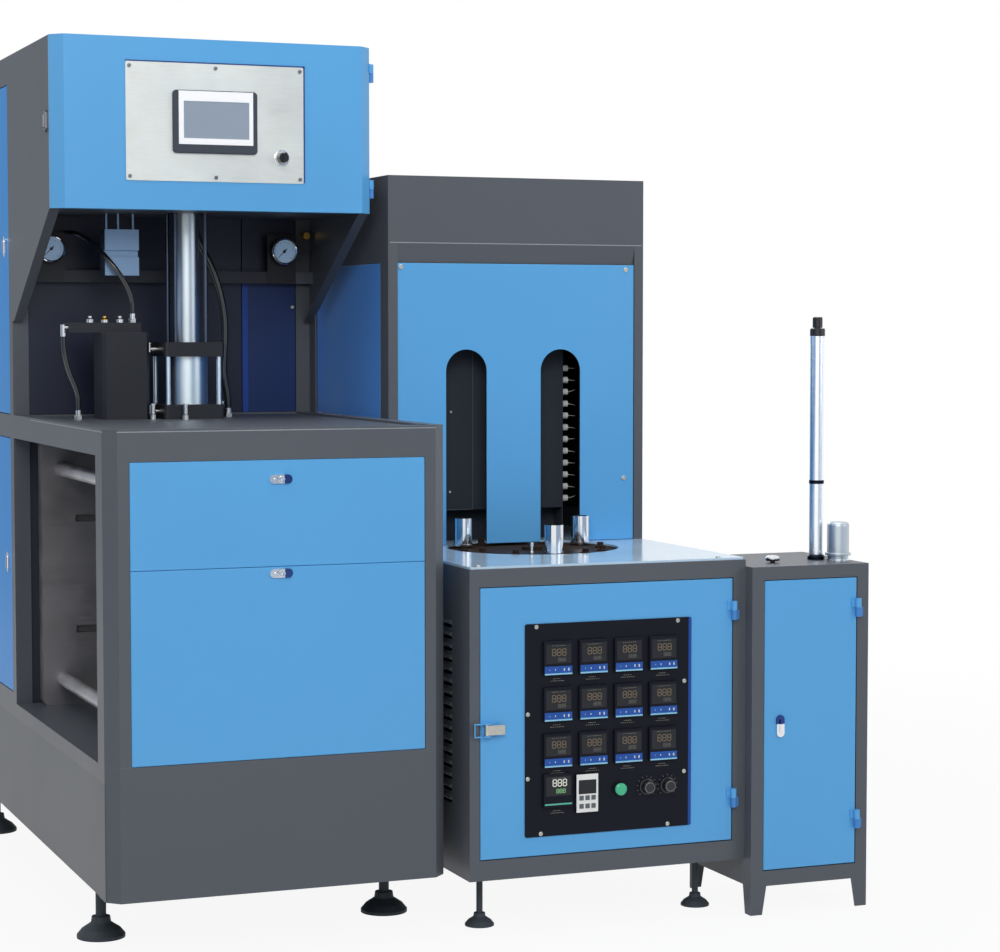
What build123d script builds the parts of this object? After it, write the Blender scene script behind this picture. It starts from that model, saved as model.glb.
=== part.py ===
from build123d import *
import os
from math import cos, sin, tan, pi, radians

# Semi-automatic stretch blow moulding machine: a blower with a mould clamp under a tall head, an
# infrared preform heater with a turntable and an oven, and a narrow cabinet with an upright cylinder.
# While it is built, X runs to the right from the blower's left side, Y to the back from the bench's
# front, and Z up from the floor. Millimetres.

# Blower outline
blower_width = 780.0
corner_chamfer = 28.0
bench_depth = 1020.0
tower_back = 1890.0
floor_gap = 140.0
base_top = 435.0
bench_top = 1165.0
tower_top = 2060.0
head_front = 510.0
head_height = 400.0
gusset_drop = 260.0

# Frame members and sheet
post = 40.0
stile = 53.0
stile_return = 90.0
stile_wall = 30.0
front_rail = 70.0
side_rail = 58.0
tower_top_rail = 66.0
tower_bottom_rail = 25.0
base_wall = 4.0
base_band = 35.0
base_recess = 2.0
base_flange = 84.0
sheet = 3.0
deck_thickness = 10.0
deck_drop = 5.0
beam_drop = 162.0
beam_height = 30.0
beam_depth = 30.0

# Panels, doors, hinges and latches
pan_depth = 18.0
pan_sheet = 2.5
pan_round = 2.0
fixed_gap = 0.8
door_gap = 2.0
knuckle_r = 7.0
hinge_pin_r = 3.5
hinge_half = 22.0
hinge_leaf = 14.0
hinge_split = 0.2
running = 0.06
latch_width = 20.0
latch_length = 52.0
latch_proud = 5.0
latch_shaft_r = 8.0
cam_width = 14.0
cam_thick = 4.0
skin_gap = 0.3

# Head cover, operator plate, screen and selector, placed from the blower's middle and the head's bottom
cover_side = 12.0
cover_gap = 1.0
plate_left, plate_width = 218.0, 432.0
plate_rise, plate_height = 67.0, 276.0
plate_thick = 2.0
screen_width, screen_height = 205.0, 147.0
screen_left, screen_rise = 107.0, 133.0
bezel_depth = 8.0
screen_window_w, screen_window_h = 165.0, 105.0
housing_depth = 30.0
selector_right, selector_rise = 159.0, 127.0
selector_r = 13.0
lock_setback, lock_rise = 64.0, 203.0

# Mould clamp
seal_setback = 220.0
mould_half = 170.0
clamp_stroke = 330.0
clamp_centre_z = 765.0
platen_side_gap = 60.0
fixed_platen_thick = 50.0
moving_platen_thick = 45.0
platen_top = 1100.0
bar_r = 18.0
bar_x_inset = 110.0
bar_rise = 265.0
bush_wall = 15.0
bush_flange = 6.0
slot_rise = 140.0
slot_mouth = 18.0
slot_tee = 32.0
slot_depth = 26.0
slot_end_gap = 84.0
locating_r = 30.0
clamp_bore_r = 50.0
clamp_tube_wall = 10.0
clamp_cap = 36.0
clamp_rod_r = 22.5
crosshead_thick = 40.0
waist_reach, waist_length = 300.0, 400.0

# Seal and stretch cylinders on the deck
flange_side = 150.0
flange_thick = 35.0
seal_tube_r = 49.0
seal_bore_r = 45.0
seal_tube_height = 118.0
seal_stroke = 40.0
nozzle_r = 20.0
stretch_tube_r = 32.0
stretch_bore_r = 28.0
stretch_head_drop = 100.0
stretch_cap_side = 88.0
stretch_stroke = 480.0
stretch_rod_r = 8.0
tie_r = 6.0

# Gauges on the cross beam
gauge_r = 33.0
gauge_inset = 88.0
gauge_rise = 82.0
gauge_depth = 30.0
gauge_dial_recess = 7.0

# Levelling feet
foot_inset = 50.0
foot_front_y = 300.0
foot_back_y = 1600.0
foot_pad_r = 55.0
foot_pad_height = 48.0
foot_stem_r = 12.0

# Heater cabinet, table and oven
heater_gap = 40.0
heater_width = 695.0
heater_front = -35.0
heater_back = 1150.0
heater_bottom = 130.0
heater_top = 840.0
frame_fold = 25.0
door_left_border, door_right_border = 24.0, 32.0
door_top_border, door_bottom_border = 41.0, 46.0
table_thick = 5.0
table_hole_r = 211.0
table_centre_y = 410.0
oven_front_y = 530.0
oven_inset = 5.0
oven_top = 1755.0
oven_fold_z = 1590.0
oven_panel_top = 1543.0
oven_border = 24.0
strip_recess = 8.0
arch_radius = 54.0
arch_spacing = 253.0
arch_top = 1330.0

# Turntable, cups and lamps
cup_circle_r = 176.0
disc_r = 205.0
disc_thick = 12.0
disc_drop = 6.0
stations = 12
station_offset = -5.5
loaded_stations = (1, 5, 9)
cup_r = 22.5
cup_bore_r = 18.5
cup_height = 68.0
cup_flange_r = 25.0
cup_flange = 4.0
cup_shaft_r = 8.0
wheel_r = 20.0
wheel_thick = 8.0
hub_height = 40.0
lamp_count = 12
lamp_low_z = 947.0
lamp_pitch = 30.3
lamp_r = 5.0
lamp_y = 640.0
lamp_left, lamp_length = 165.0, 340.0
socket_r = 8.0
socket_length = 22.0

# Control panel on the heater door, placed from the heater's left side
panel_left, panel_width = 134.0, 417.0
panel_z0, panel_z1 = 222.0, 711.0
panel_thick = 3.0
module_size = 72.0
module_height = 78.0
module_proud = 8.0
module_body = 55.0
module_left, module_pitch_x = 213.0, 88.5
module_z, module_pitch_z = 631.0, 106.0
keypad_left, keypad_z = 285.0, 316.5
keypad_w, keypad_h = 55.0, 89.0
last_module_z = 327.0
button_left, button_z, button_r = 369.0, 320.0, 14.0
button_travel = 4.0
dial_lefts = (439.0, 492.0)
dial_z, dial_r, dial_proud = 320.0, 19.0, 18.0
toggle_z = 476.0

# Narrow side cabinet, with what stands on it placed from its left side
side_width = 310.0
side_front = -70.0
side_depth = 326.0
side_bottom = 68.0
side_top = 824.0
side_left_border, side_right_border = 31.0, 30.0
side_top_border, side_bottom_border = 31.0, 36.0
leg_top, leg_foot, leg_sheet = 41.0, 30.0, 3.0
column_left, column_y, column_r = 239.0, 60.0, 17.0
column_top = 1345.0
column_stroke = 400.0
column_rod_r = 8.0
side_cup_left, side_cup_y = 277.0, 20.0
side_button_left, side_button_y, side_button_r = 100.0, 20.0, 11.0

# Worked out from the sizes above
centre_x = blower_width / 2
heater_x = blower_width + heater_gap
heater_right = heater_x + heater_width
side_x = heater_right
side_back = side_front + side_depth
deck_top = bench_top - deck_drop
head_bottom = tower_top - head_height
gusset_bottom = head_bottom - gusset_drop
beam_low = head_bottom - beam_drop
beam_high = beam_low + beam_height
gauge_z = beam_low + gauge_rise
stretch_head_z = tower_top - stretch_head_drop
plate_x0 = centre_x - plate_left
plate_x1 = plate_x0 + plate_width
plate_z0 = head_bottom + plate_rise
plate_z1 = plate_z0 + plate_height
screen_x0, screen_z0 = centre_x - screen_left, head_bottom + screen_rise
selector_x, selector_z = centre_x + selector_right, head_bottom + selector_rise
seal_y = bench_depth - seal_setback
fixed_face = seal_y + mould_half
moving_face = seal_y - mould_half - clamp_stroke
bar_xs = (bar_x_inset, blower_width - bar_x_inset)
bar_zs = (clamp_centre_z - bar_rise, clamp_centre_z + bar_rise)
table_x = heater_x + door_left_border + 312.5
lamp_x0 = heater_x + lamp_left
lamp_x1 = lamp_x0 + lamp_length
panel_x0 = heater_x + panel_left
panel_x1 = panel_x0 + panel_width
module_x = heater_x + module_left
keypad_x = heater_x + keypad_left
button_x = heater_x + button_left
dial_xs = tuple(heater_x + left for left in dial_lefts)
column_x = side_x + column_left
side_cup_x = side_x + side_cup_left
side_button_x = side_x + side_button_left
table_top = heater_top + table_thick
disc_top = table_top - disc_drop
shell_front = head_front + corner_chamfer + cover_side + cover_gap


def block(x0, x1, y0, y1, z0, z1):
    """Square-edged bar or plate between two corners."""
    middle = Pos((x0 + x1) / 2, (y0 + y1) / 2, (z0 + z1) / 2)
    return middle * Box(x1 - x0, y1 - y0, z1 - z0)


def post_z(x, y, z0, z1, r):
    """Round bar along Z."""
    return Pos(x, y, (z0 + z1) / 2) * Cylinder(r, z1 - z0)


def bar_y(x, z, y0, y1, r):
    """Round bar along Y."""
    return Pos(x, (y0 + y1) / 2, z) * Rot(90, 0, 0) * Cylinder(r, y1 - y0)


def bar_x(y, z, x0, x1, r):
    """Round bar along X."""
    return Pos((x0 + x1) / 2, y, z) * Rot(0, 90, 0) * Cylinder(r, x1 - x0)


def plan_face(points):
    """Face in the XY plane from its corners."""
    return make_face(Polyline(points, close=True))


def upright(points, y0, y1):
    """Plate standing in the XZ plane, from its corners, between two depths."""
    return extrude(Plane.XZ.offset(-y1) * plan_face(points), y1 - y0, dir=(0, -1, 0))


def side_plate(points, x0, x1):
    """Plate standing in the YZ plane, from (y, z) corners, between two X values."""
    return extrude(Plane.YZ.offset(x0) * plan_face(points), x1 - x0, dir=(1, 0, 0))


def layer(points, z0, z1):
    """Flat-lying plate from its (x, y) corners, between two heights."""
    return extrude(Plane.XY.offset(z0) * plan_face(points), z1 - z0, dir=(0, 0, 1))


def turned(points):
    """Solid turned about Z from (radius, height) corners."""
    return revolve(Rot(90, 0, 0) * plan_face(points), Axis.Z)


def group(solids):
    """Several separate pieces kept in one node."""
    return Compound(list(solids))


def pan(width, height, depth=pan_depth, wall=pan_sheet):
    """Folded sheet panel: front at Y = 0, lower left corner at the origin, open at the back."""
    shell = block(0, width, 0, depth, 0, height)
    front = shell.faces().sort_by(Axis.Y)[0]
    shell = fillet(front.edges(), pan_round)
    return shell - block(wall, width - wall, wall, depth + 1, wall, height - wall)


FACES_LEFT = Rot(0, 0, -90)
FACES_RIGHT = Rot(0, 0, 90)
FACES_BACK = Rot(0, 0, 180)


def hinge(door_side):
    """Weld-on hinge in front of a face at Y = knuckle_r + 1: the fixed half with its pin, and the
    half on the door, which lies towards door_side along X."""
    face = knuckle_r + 1
    far = hinge_leaf + 1
    frame_x = sorted((-door_side * 1.2, -door_side * far))
    door_x = sorted((door_side * 1.2, door_side * far))
    lower = post_z(0, 0, -hinge_half, -hinge_split, knuckle_r)
    lower += block(*frame_x, face - 3, face, -hinge_half, -hinge_split)
    lower += post_z(0, 0, -hinge_half, hinge_half - 2, hinge_pin_r)
    upper = post_z(0, 0, hinge_split, hinge_half, knuckle_r)
    upper += block(*door_x, face - 3, face, hinge_split, hinge_half)
    upper -= post_z(0, 0, 0, hinge_half - 2 + 0.5, hinge_pin_r + running)
    return lower, upper


def quarter_latch(cam_y, cam_reach, cam_angle, long_axis_vertical):
    """Oval quarter-turn latch in front of a panel face at Y = 0: oval plate with a finger bar,
    shaft through the panel, and a cam behind it that points at cam_angle from +X towards +Z."""
    oval = extrude(Plane.XZ.offset(skin_gap) * SlotOverall(latch_length, latch_width), latch_proud)
    finger = extrude(Plane.XZ.offset(skin_gap + latch_proud) * SlotOverall(latch_length * 0.6, 5), 4)
    head = oval + finger
    if long_axis_vertical:
        head = Rot(0, 90, 0) * head
    shaft = bar_y(0, 0, -skin_gap, cam_y + cam_thick, latch_shaft_r)
    cam = block(0, cam_reach, cam_y, cam_y + cam_thick, -cam_width / 2, cam_width / 2)
    return head + shaft + Rot(0, -cam_angle, 0) * cam


parts = {}

# Blower base: folded sheet skirt under a bed plate, with a proud band along its top


def blower_plan(inset=0.0):
    """The blower's outline, with chamfered front corners."""
    w, c = blower_width, corner_chamfer
    corners = [(0, c), (c, 0), (w - c, 0), (w, c), (w, tower_back), (0, tower_back)]
    outline = plan_face(corners)
    return offset(outline, -inset, kind=Kind.INTERSECTION) if inset else outline


def ring(z0, z1, inner_inset):
    """Band that follows the blower's outline, between two heights."""
    band_face = blower_plan() - blower_plan(inner_inset)
    return extrude(Plane.XY.offset(z0) * band_face, z1 - z0, dir=(0, 0, 1))


skirt = ring(floor_gap, base_top, base_wall)
skirt += ring(floor_gap, floor_gap + base_wall, base_flange)
skirt += extrude(Plane.XY.offset(base_top - base_wall) * blower_plan(), base_wall, dir=(0, 0, 1))
for x0 in (-1, blower_width - base_recess):
    x1 = x0 + base_recess + 1
    skirt -= block(x0, x1, stile_return, tower_back + 1, floor_gap - 1, base_top - base_band)
parts["base_skirt"] = skirt

# Bench frame: chamfered front posts, front rail, side rails and the deck on them

left_post = [(0, corner_chamfer), (corner_chamfer, 0), (stile, 0), (stile, stile_wall)]
left_post += [(stile_wall, stile_wall), (stile_wall, stile_return), (0, stile_return)]
right_post = [(blower_width - x, y) for x, y in left_post]
bench = layer(left_post, base_top, bench_top)
bench += layer(right_post, base_top, bench_top)
bench += block(stile, blower_width - stile, 0, post, bench_top - front_rail, bench_top)
for x0 in (0, blower_width - post):
    bench += block(x0, x0 + post, stile_return, bench_depth, bench_top - side_rail, bench_top)
bench += block(post, blower_width - post, post, bench_depth, deck_top - deck_thickness, deck_top)
bench -= post_z(centre_x, seal_y, deck_top - 2 * deck_thickness, deck_top + 1, nozzle_r + 15)
parts["bench_frame"] = bench

# Tower frame: four posts, rails on every side and the beam that carries the gauges

post_xs = (0, blower_width - post)
post_ys = (bench_depth, tower_back - post)
rail_levels = ((tower_top - sheet - tower_top_rail, tower_top - sheet),
               (bench_top - side_rail, bench_top))
tower = block(0, post, bench_depth, bench_depth + post, base_top, tower_top - sheet)
for x0 in post_xs:
    for y0 in post_ys:
        tower += block(x0, x0 + post, y0, y0 + post, base_top, tower_top - sheet)
    for z0, z1 in rail_levels + ((base_top, base_top + tower_bottom_rail),):
        tower += block(x0, x0 + post, bench_depth + post, tower_back - post, z0, z1)
for y0 in post_ys:
    for z0, z1 in rail_levels:
        tower += block(post, blower_width - post, y0, y0 + post, z0, z1)
tower += block(sheet, blower_width - sheet, bench_depth - beam_depth, bench_depth, beam_low, beam_high)
parts["tower_frame"] = tower

# Fixed panels on the right side, the back and between the bench and the tower

upper_z0 = bench_top + fixed_gap
upper_z1 = tower_top - sheet - tower_top_rail - fixed_gap
lower_z0 = base_top + tower_bottom_rail + fixed_gap
lower_z1 = bench_top - side_rail - fixed_gap
tower_y0 = bench_depth + post
tower_y1 = tower_back - post
side_panels = []
tower_side = tower_y1 - tower_y0 - 2 * fixed_gap
for z0, z1 in ((upper_z0, upper_z1), (lower_z0, lower_z1)):
    side_panels.append(Pos(blower_width, tower_y0 + fixed_gap, z0) * FACES_RIGHT * pan(tower_side, z1 - z0))
    back_width = blower_width - 2 * post - 2 * fixed_gap
    back_z0 = z0 if z0 == upper_z0 else base_top + fixed_gap
    back_place = Pos(blower_width - post - fixed_gap, tower_back, back_z0) * FACES_BACK
    side_panels.append(back_place * pan(back_width, z1 - back_z0))
bench_side = bench_depth - stile_return - 2 * fixed_gap
bench_panel_z0 = base_top + fixed_gap
side_panels.append(Pos(blower_width, stile_return + fixed_gap, bench_panel_z0) * FACES_RIGHT
                   * pan(bench_side, lower_z1 - bench_panel_z0))
wall_y = bench_depth + 4
wall_split = blower_width - 184
wall_z1 = tower_top - sheet - tower_top_rail
for x0, x1 in ((post, wall_split - fixed_gap), (wall_split, blower_width - post)):
    side_panels.append(Pos(x0, wall_y, bench_top) * pan(x1 - x0, wall_z1 - bench_top, 14))
parts["side_panels"] = group(side_panels)

# Head: folded sides with gussets, a lid over head and tower, a floor for the cylinders to pass, and
# the blue cover, which is hinged at its right edge

gusset_y = bench_depth - 20
gusset = [(shell_front, head_bottom), (gusset_y, gusset_bottom), (bench_depth, gusset_bottom),
          (bench_depth, tower_top - sheet), (shell_front, tower_top - sheet)]
slope = (head_bottom - gusset_bottom) / (gusset_y - shell_front)
edge_flange = [(shell_front, head_bottom), (gusset_y, gusset_bottom), (gusset_y, gusset_bottom + sheet + 1),
               (shell_front, head_bottom + sheet + 1)]
head = block(0, blower_width, shell_front, tower_back, tower_top - sheet, tower_top)
for x0, inward in ((0, 1), (blower_width, -1)):
    outer = sorted((x0, x0 + inward * sheet))
    folded = sorted((x0, x0 + inward * 24))
    head += side_plate(gusset, *outer)
    head += side_plate(edge_flange, *folded)
    head += block(*folded, shell_front, shell_front + sheet, head_bottom, tower_top - sheet)
inner_x = (sheet, blower_width - sheet)
head += block(*inner_x, shell_front, shell_front + sheet, tower_top - 30, tower_top - sheet)
floor_y = shell_front + 20
head += block(*inner_x, floor_y, bench_depth, head_bottom + 4, head_bottom + 4 + sheet)
cap_half = stretch_cap_side / 2
head -= block(centre_x - cap_half - 8, centre_x + cap_half + 8, seal_y - cap_half - 8, seal_y + cap_half + 8,
              head_bottom - 5, head_bottom + 20)

cover_back = head_front + corner_chamfer
side_y = cover_back + cover_side
cover_plan = [(0, side_y), (0, cover_back), (corner_chamfer, head_front),
              (blower_width - corner_chamfer, head_front), (blower_width, cover_back),
              (blower_width, side_y)]
cover = layer(cover_plan, head_bottom, tower_top)
hollow = offset(plan_face(cover_plan), -sheet, kind=Kind.INTERSECTION)
hollow += Pos(centre_x, side_y) * Rectangle(blower_width - 2 * sheet, 4 * sheet)
hollow_height = tower_top - head_bottom - 2 * sheet
cover -= extrude(Plane.XY.offset(head_bottom + sheet) * hollow, hollow_height, dir=(0, 0, 1))
cut_inset = 12.0
cut_x = (screen_x0 + cut_inset, screen_x0 + screen_width - cut_inset)
cut_z = (screen_z0 + cut_inset, screen_z0 + screen_height - cut_inset)
cover -= block(*cut_x, head_front - 1, head_front + 10, *cut_z)
cover -= bar_y(selector_x, selector_z, head_front - 1, head_front + 10, selector_r)

hinge_fixed = []
cover_hinge_x = blower_width + knuckle_r + 1
cover_hinge_y = side_y + cover_gap / 2
cover_hinge_zs = (head_bottom + 60, tower_top - 60)
for z in cover_hinge_zs:
    fixed, moving = hinge(-1)
    place = Pos(cover_hinge_x, cover_hinge_y, z) * FACES_RIGHT
    hinge_fixed.append(place * fixed)
    cover += place * moving
parts["head_cover"] = cover

plate_face = head_front - plate_thick
operator = Pos((plate_x0 + plate_x1) / 2, head_front, (plate_z0 + plate_z1) / 2) * Rot(90, 0, 0) * extrude(
    RectangleRounded(plate_x1 - plate_x0, plate_z1 - plate_z0, 4), plate_thick)
operator -= block(*cut_x, plate_face - 1, head_front + 1, *cut_z)
operator -= bar_y(selector_x, selector_z, plate_face - 1, head_front + 1, latch_shaft_r + 4)
collar = bar_y(selector_x, selector_z, plate_face - 6, plate_face, selector_r + 2)
collar += bar_y(selector_x, selector_z, plate_face, head_front + sheet + 8, latch_shaft_r + 4)
collar -= bar_y(selector_x, selector_z, plate_face - 7, head_front + sheet + 9, latch_shaft_r + running)
parts["operator_plate"] = operator + collar

screen_mid = Pos(screen_x0 + screen_width / 2, plate_face, screen_z0 + screen_height / 2) * Rot(90, 0, 0)
housing = screen_mid * extrude(RectangleRounded(screen_width, screen_height, 9), bezel_depth)
housing = chamfer(housing.faces().sort_by(Axis.Y)[0].edges(), 1.5)
housing -= block(screen_x0 + 20, screen_x0 + 20 + screen_window_w, plate_face - bezel_depth - 1,
                 plate_face - bezel_depth + 2, screen_z0 + 21, screen_z0 + 21 + screen_window_h)
body_gap = cut_inset + skin_gap
housing += block(screen_x0 + body_gap, screen_x0 + screen_width - body_gap,
                 plate_face, plate_face + housing_depth,
                 screen_z0 + body_gap, screen_z0 + screen_height - body_gap)
parts["screen_housing"] = housing

knob_back = plate_face - 6 - skin_gap
knob = turned([(0, 0), (latch_shaft_r, 0), (latch_shaft_r, 30), (selector_r, 30), (selector_r - 1, 46),
               (selector_r - 3, 48), (0, 48)])
knob = Pos(selector_x, knob_back + 30, selector_z) * Rot(90, 0, 0) * knob
grip_y0 = knob_back - 30
knob += block(selector_x - 3.5, selector_x + 3.5, grip_y0, knob_back - 12, selector_z - 11, selector_z + 11)
parts["selector_knob"] = knob

lock_y, lock_z = head_front + lock_setback, head_bottom + lock_rise
head -= bar_x(lock_y, lock_z, -1, sheet + 1, latch_shaft_r + running)
head_lock = quarter_latch(26, 28, 90, True)
parts["head_lock"] = Pos(0, lock_y, lock_z) * FACES_LEFT * head_lock
parts["head_shell"] = head

# Front panels of the bench, with a latch near the top of each

front_x0 = stile + fixed_gap
front_width = blower_width - 2 * front_x0
front_z = (base_top + fixed_gap, 860.0, bench_top - front_rail - fixed_gap)
latch_zs = (845.0, 1052.0)
latch_x = centre_x
front_panels = []
front_rows = ((front_z[0], front_z[1] - fixed_gap, latch_zs[0]), (front_z[1], front_z[2], latch_zs[1]))
for low, high, latch_z in front_rows:
    panel = Pos(front_x0, 0, low) * pan(front_width, high - low)
    panel -= bar_y(latch_x, latch_z, -1, pan_sheet + 1, latch_shaft_r + running)
    front_panels.append(panel)
parts["front_panels"] = group(front_panels)
lower_cam_y = pan_depth + 1
upper_cam_y = post + 1
parts["panel_latch_lower"] = Pos(latch_x, 0, latch_zs[0]) * quarter_latch(lower_cam_y, 40, 90, False)
parts["panel_latch_upper"] = Pos(latch_x, 0, latch_zs[1]) * quarter_latch(upper_cam_y, 60, 90, False)

# Doors on the tower's left side, hinged at the back edge, each with its latch near the front edge

door_length = tower_y1 - tower_y0 - 2 * door_gap
door_front_y = tower_y0 + door_gap
door_hinge_x = -(knuckle_r + 1)
left_hinge_y = tower_y1 - door_gap / 2
left_latch_y = tower_y0 + 36
left_doors = {
    "left_door_lower": (lower_z0 + 1, lower_z1 - 1, 789.0),
    "left_door_upper": (upper_z0 + 1, upper_z1 - 1, 1588.0),
}
left_hinge_inset = 90.0
for name, (z0, z1, latch_z) in left_doors.items():
    door = Pos(0, tower_y1 - door_gap, z0) * FACES_LEFT * pan(door_length, z1 - z0)
    door -= bar_x(left_latch_y, latch_z, -1, pan_sheet + 1, latch_shaft_r + running)
    for z in (z0 + left_hinge_inset, z1 - left_hinge_inset):
        fixed, moving = hinge(1)
        place = Pos(door_hinge_x, left_hinge_y, z) * FACES_LEFT
        hinge_fixed.append(place * fixed)
        door += place * moving
    parts[name] = door
    latch = quarter_latch(post + 1, 46, 90, True)
    parts[name.replace("door", "latch")] = Pos(0, left_latch_y, latch_z) * FACES_LEFT * latch

# Mould clamp: the fixed platen stands on the bed against the tower, the front platen hangs on four
# tie bars that slide through it, and a cylinder behind it pushes the crosshead that draws them back

platen_x0, platen_x1 = platen_side_gap, blower_width - platen_side_gap
platen_round = 12.0


def platen(y0, y1, z0):
    """Flat platen between two depths, with rounded corners and a locating hole."""
    height = platen_top - z0
    plate = Pos(centre_x, y1, z0 + height / 2) * Rot(90, 0, 0) * extrude(
        RectangleRounded(platen_x1 - platen_x0, height, platen_round), y1 - y0)
    return plate - bar_y(centre_x, clamp_centre_z, y0 - 1, y1 + 1, locating_r)


def tee_slots(face_y, inward):
    """Two T-slots cut along X into a platen's face; inward is the way into the metal, along Y."""
    slots = []
    for z in (clamp_centre_z - slot_rise, clamp_centre_z + slot_rise):
        for width, start, end in ((slot_mouth, -1, slot_depth), (slot_tee, slot_depth / 2, slot_depth)):
            y0, y1 = sorted((face_y + inward * start, face_y + inward * end))
            x0, x1 = platen_x0 + slot_end_gap, platen_x1 - slot_end_gap
            slots.append(block(x0, x1, y0, y1, z - width / 2, z + width / 2))
    return slots


fixed_platen = platen(fixed_face, fixed_face + fixed_platen_thick, base_top)
for slot in tee_slots(fixed_face, 1):
    fixed_platen -= slot
moving_platen = platen(moving_face - moving_platen_thick, moving_face, base_top + 0.4)
for slot in tee_slots(moving_face, -1):
    moving_platen -= slot
bush_back = fixed_face + fixed_platen_thick
tie_bars = []
bar_front = moving_face - moving_platen_thick
crosshead_y = fixed_face + fixed_platen_thick + clamp_stroke + 2 * clamp_cap + 50
bar_end = crosshead_y + crosshead_thick
nut_thick, nut_r = 18.0, 30.0
for x in bar_xs:
    for z in bar_zs:
        moving_platen -= bar_y(x, z, bar_front - 1, moving_face + 1, bar_r)
        fixed_platen += bar_y(x, z, bush_back, bush_back + bush_flange, bar_r + bush_wall)
        fixed_platen -= bar_y(x, z, fixed_face - 1, bush_back + bush_flange + 1, bar_r + running)
        tie = bar_y(x, z, bar_front - nut_thick, bar_end + nut_thick, bar_r)
        nut = Rot(90, 0, 0) * extrude(RegularPolygon(nut_r, 6), nut_thick)
        tie += Pos(x, bar_front, z) * nut
        tie += Pos(x, bar_end + nut_thick, z) * nut
        tie_bars.append(tie)
parts["fixed_platen"] = fixed_platen
parts["clamp_platen"] = moving_platen
parts["tie_bars"] = group(tie_bars)

crosshead_edge = 34.0
crosshead_low, crosshead_high = bar_zs[0] - crosshead_edge, bar_zs[1] + crosshead_edge
crosshead_width = bar_xs[1] - bar_xs[0] + 2 * crosshead_edge
crosshead = Pos(centre_x, bar_end, (crosshead_low + crosshead_high) / 2) * Rot(90, 0, 0) * extrude(
    RectangleRounded(crosshead_width, crosshead_high - crosshead_low, 30), crosshead_thick)
waist = 95.0
for side in (-1, 1):
    crosshead -= Pos(centre_x + side * waist_reach, bar_end, clamp_centre_z) * Rot(90, 0, 0) * extrude(
        SlotOverall(waist_length, 2 * waist), crosshead_thick * 3, both=True)
for x in bar_xs:
    for z in bar_zs:
        crosshead -= bar_y(x, z, crosshead_y - 1, bar_end + 1, bar_r)

cyl_front = bush_back
tube_front = cyl_front + clamp_cap
tube_back = crosshead_y - 5 - clamp_cap
cap_side = 2 * (clamp_bore_r + clamp_tube_wall) + 6
barrel = Pos(centre_x, tube_front, clamp_centre_z) * Rot(90, 0, 0) * extrude(
    RectangleRounded(cap_side, cap_side, 10), clamp_cap)
barrel += bar_y(centre_x, clamp_centre_z, tube_front, tube_back, clamp_bore_r + clamp_tube_wall)
barrel += Pos(centre_x, tube_back + clamp_cap, clamp_centre_z) * Rot(90, 0, 0) * extrude(
    RectangleRounded(cap_side, cap_side, 10), clamp_cap)
barrel -= bar_y(centre_x, clamp_centre_z, tube_front, tube_back, clamp_bore_r)
barrel -= bar_y(centre_x, clamp_centre_z, tube_back - 1, tube_back + clamp_cap + 1, clamp_rod_r + running)
parts["clamp_cylinder"] = barrel
piston_y = tube_front + 8
rod = bar_y(centre_x, clamp_centre_z, piston_y, crosshead_y, clamp_rod_r)
rod += bar_y(centre_x, clamp_centre_z, piston_y, piston_y + 20, clamp_bore_r - running)
parts["crosshead"] = crosshead + rod

# Seal cylinder on the deck, with the stretch cylinder above it and the stretch rod through both

seal_low = deck_top + flange_thick
seal_high = seal_low + seal_tube_height
stretch_low = seal_high + flange_thick
tie_offset = flange_side / 2 - tie_r - 5
axis = Pos(centre_x, seal_y, 0)


def seal_flange(z0):
    plate = Pos(0, 0, z0) * extrude(RectangleRounded(flange_side, flange_side, 8), flange_thick)
    return plate


lower_flange = seal_flange(deck_top) - post_z(0, 0, deck_top - 1, seal_low + 1, nozzle_r + running)
upper_flange = seal_flange(seal_high) - post_z(0, 0, seal_high - 1, stretch_low + 1, stretch_rod_r + running)
seal_tube = post_z(0, 0, seal_low, seal_high, seal_tube_r)
seal_tube -= post_z(0, 0, seal_low - 1, seal_high + 1, seal_bore_r)
stretch_tube = post_z(0, 0, stretch_low, stretch_head_z, stretch_tube_r)
stretch_tube -= post_z(0, 0, stretch_low - 1, stretch_head_z + 1, stretch_bore_r)
ties = [axis * seal_tube, axis * stretch_tube]
small_tie = cap_half - tie_r
for sx in (-1, 1):
    for sy in (-1, 1):
        ties.append(axis * post_z(sx * tie_offset, sy * tie_offset, seal_low, seal_high, tie_r))
        ties.append(axis * post_z(sx * small_tie, sy * small_tie, stretch_low, stretch_head_z, tie_r - 1))
parts["cylinder_tubes"] = group(ties)
cap_face = RectangleRounded(stretch_cap_side, stretch_cap_side, 8)
top_cap = Pos(0, 0, stretch_head_z) * extrude(cap_face, flange_thick)
parts["cylinder_caps"] = group([axis * lower_flange, axis * upper_flange, axis * top_cap])

nozzle_tip = deck_top - deck_thickness - 30
seal_piston = seal_high - 25
bore = stretch_rod_r + running
seal_ring_r = seal_bore_r - running
nozzle = turned([(bore, nozzle_tip), (nozzle_r - 6, nozzle_tip), (nozzle_r, nozzle_tip + 14),
                 (nozzle_r, seal_piston - 22), (seal_ring_r, seal_piston - 22), (seal_ring_r, seal_piston),
                 (bore, seal_piston)])
parts["seal_nozzle"] = axis * nozzle
stretch_piston = stretch_head_z - 5
rod_tip = nozzle_tip + 4
stretch_rod = turned([(0, rod_tip), (stretch_rod_r - 2, rod_tip), (stretch_rod_r, rod_tip + 6),
                      (stretch_rod_r, stretch_piston - 25), (stretch_bore_r - running, stretch_piston - 25),
                      (stretch_bore_r - running, stretch_piston), (0, stretch_piston)])
parts["stretch_rod"] = axis * stretch_rod

# Blow valve block on the deck with its air manifold, the guide unit under the head, and fittings

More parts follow.
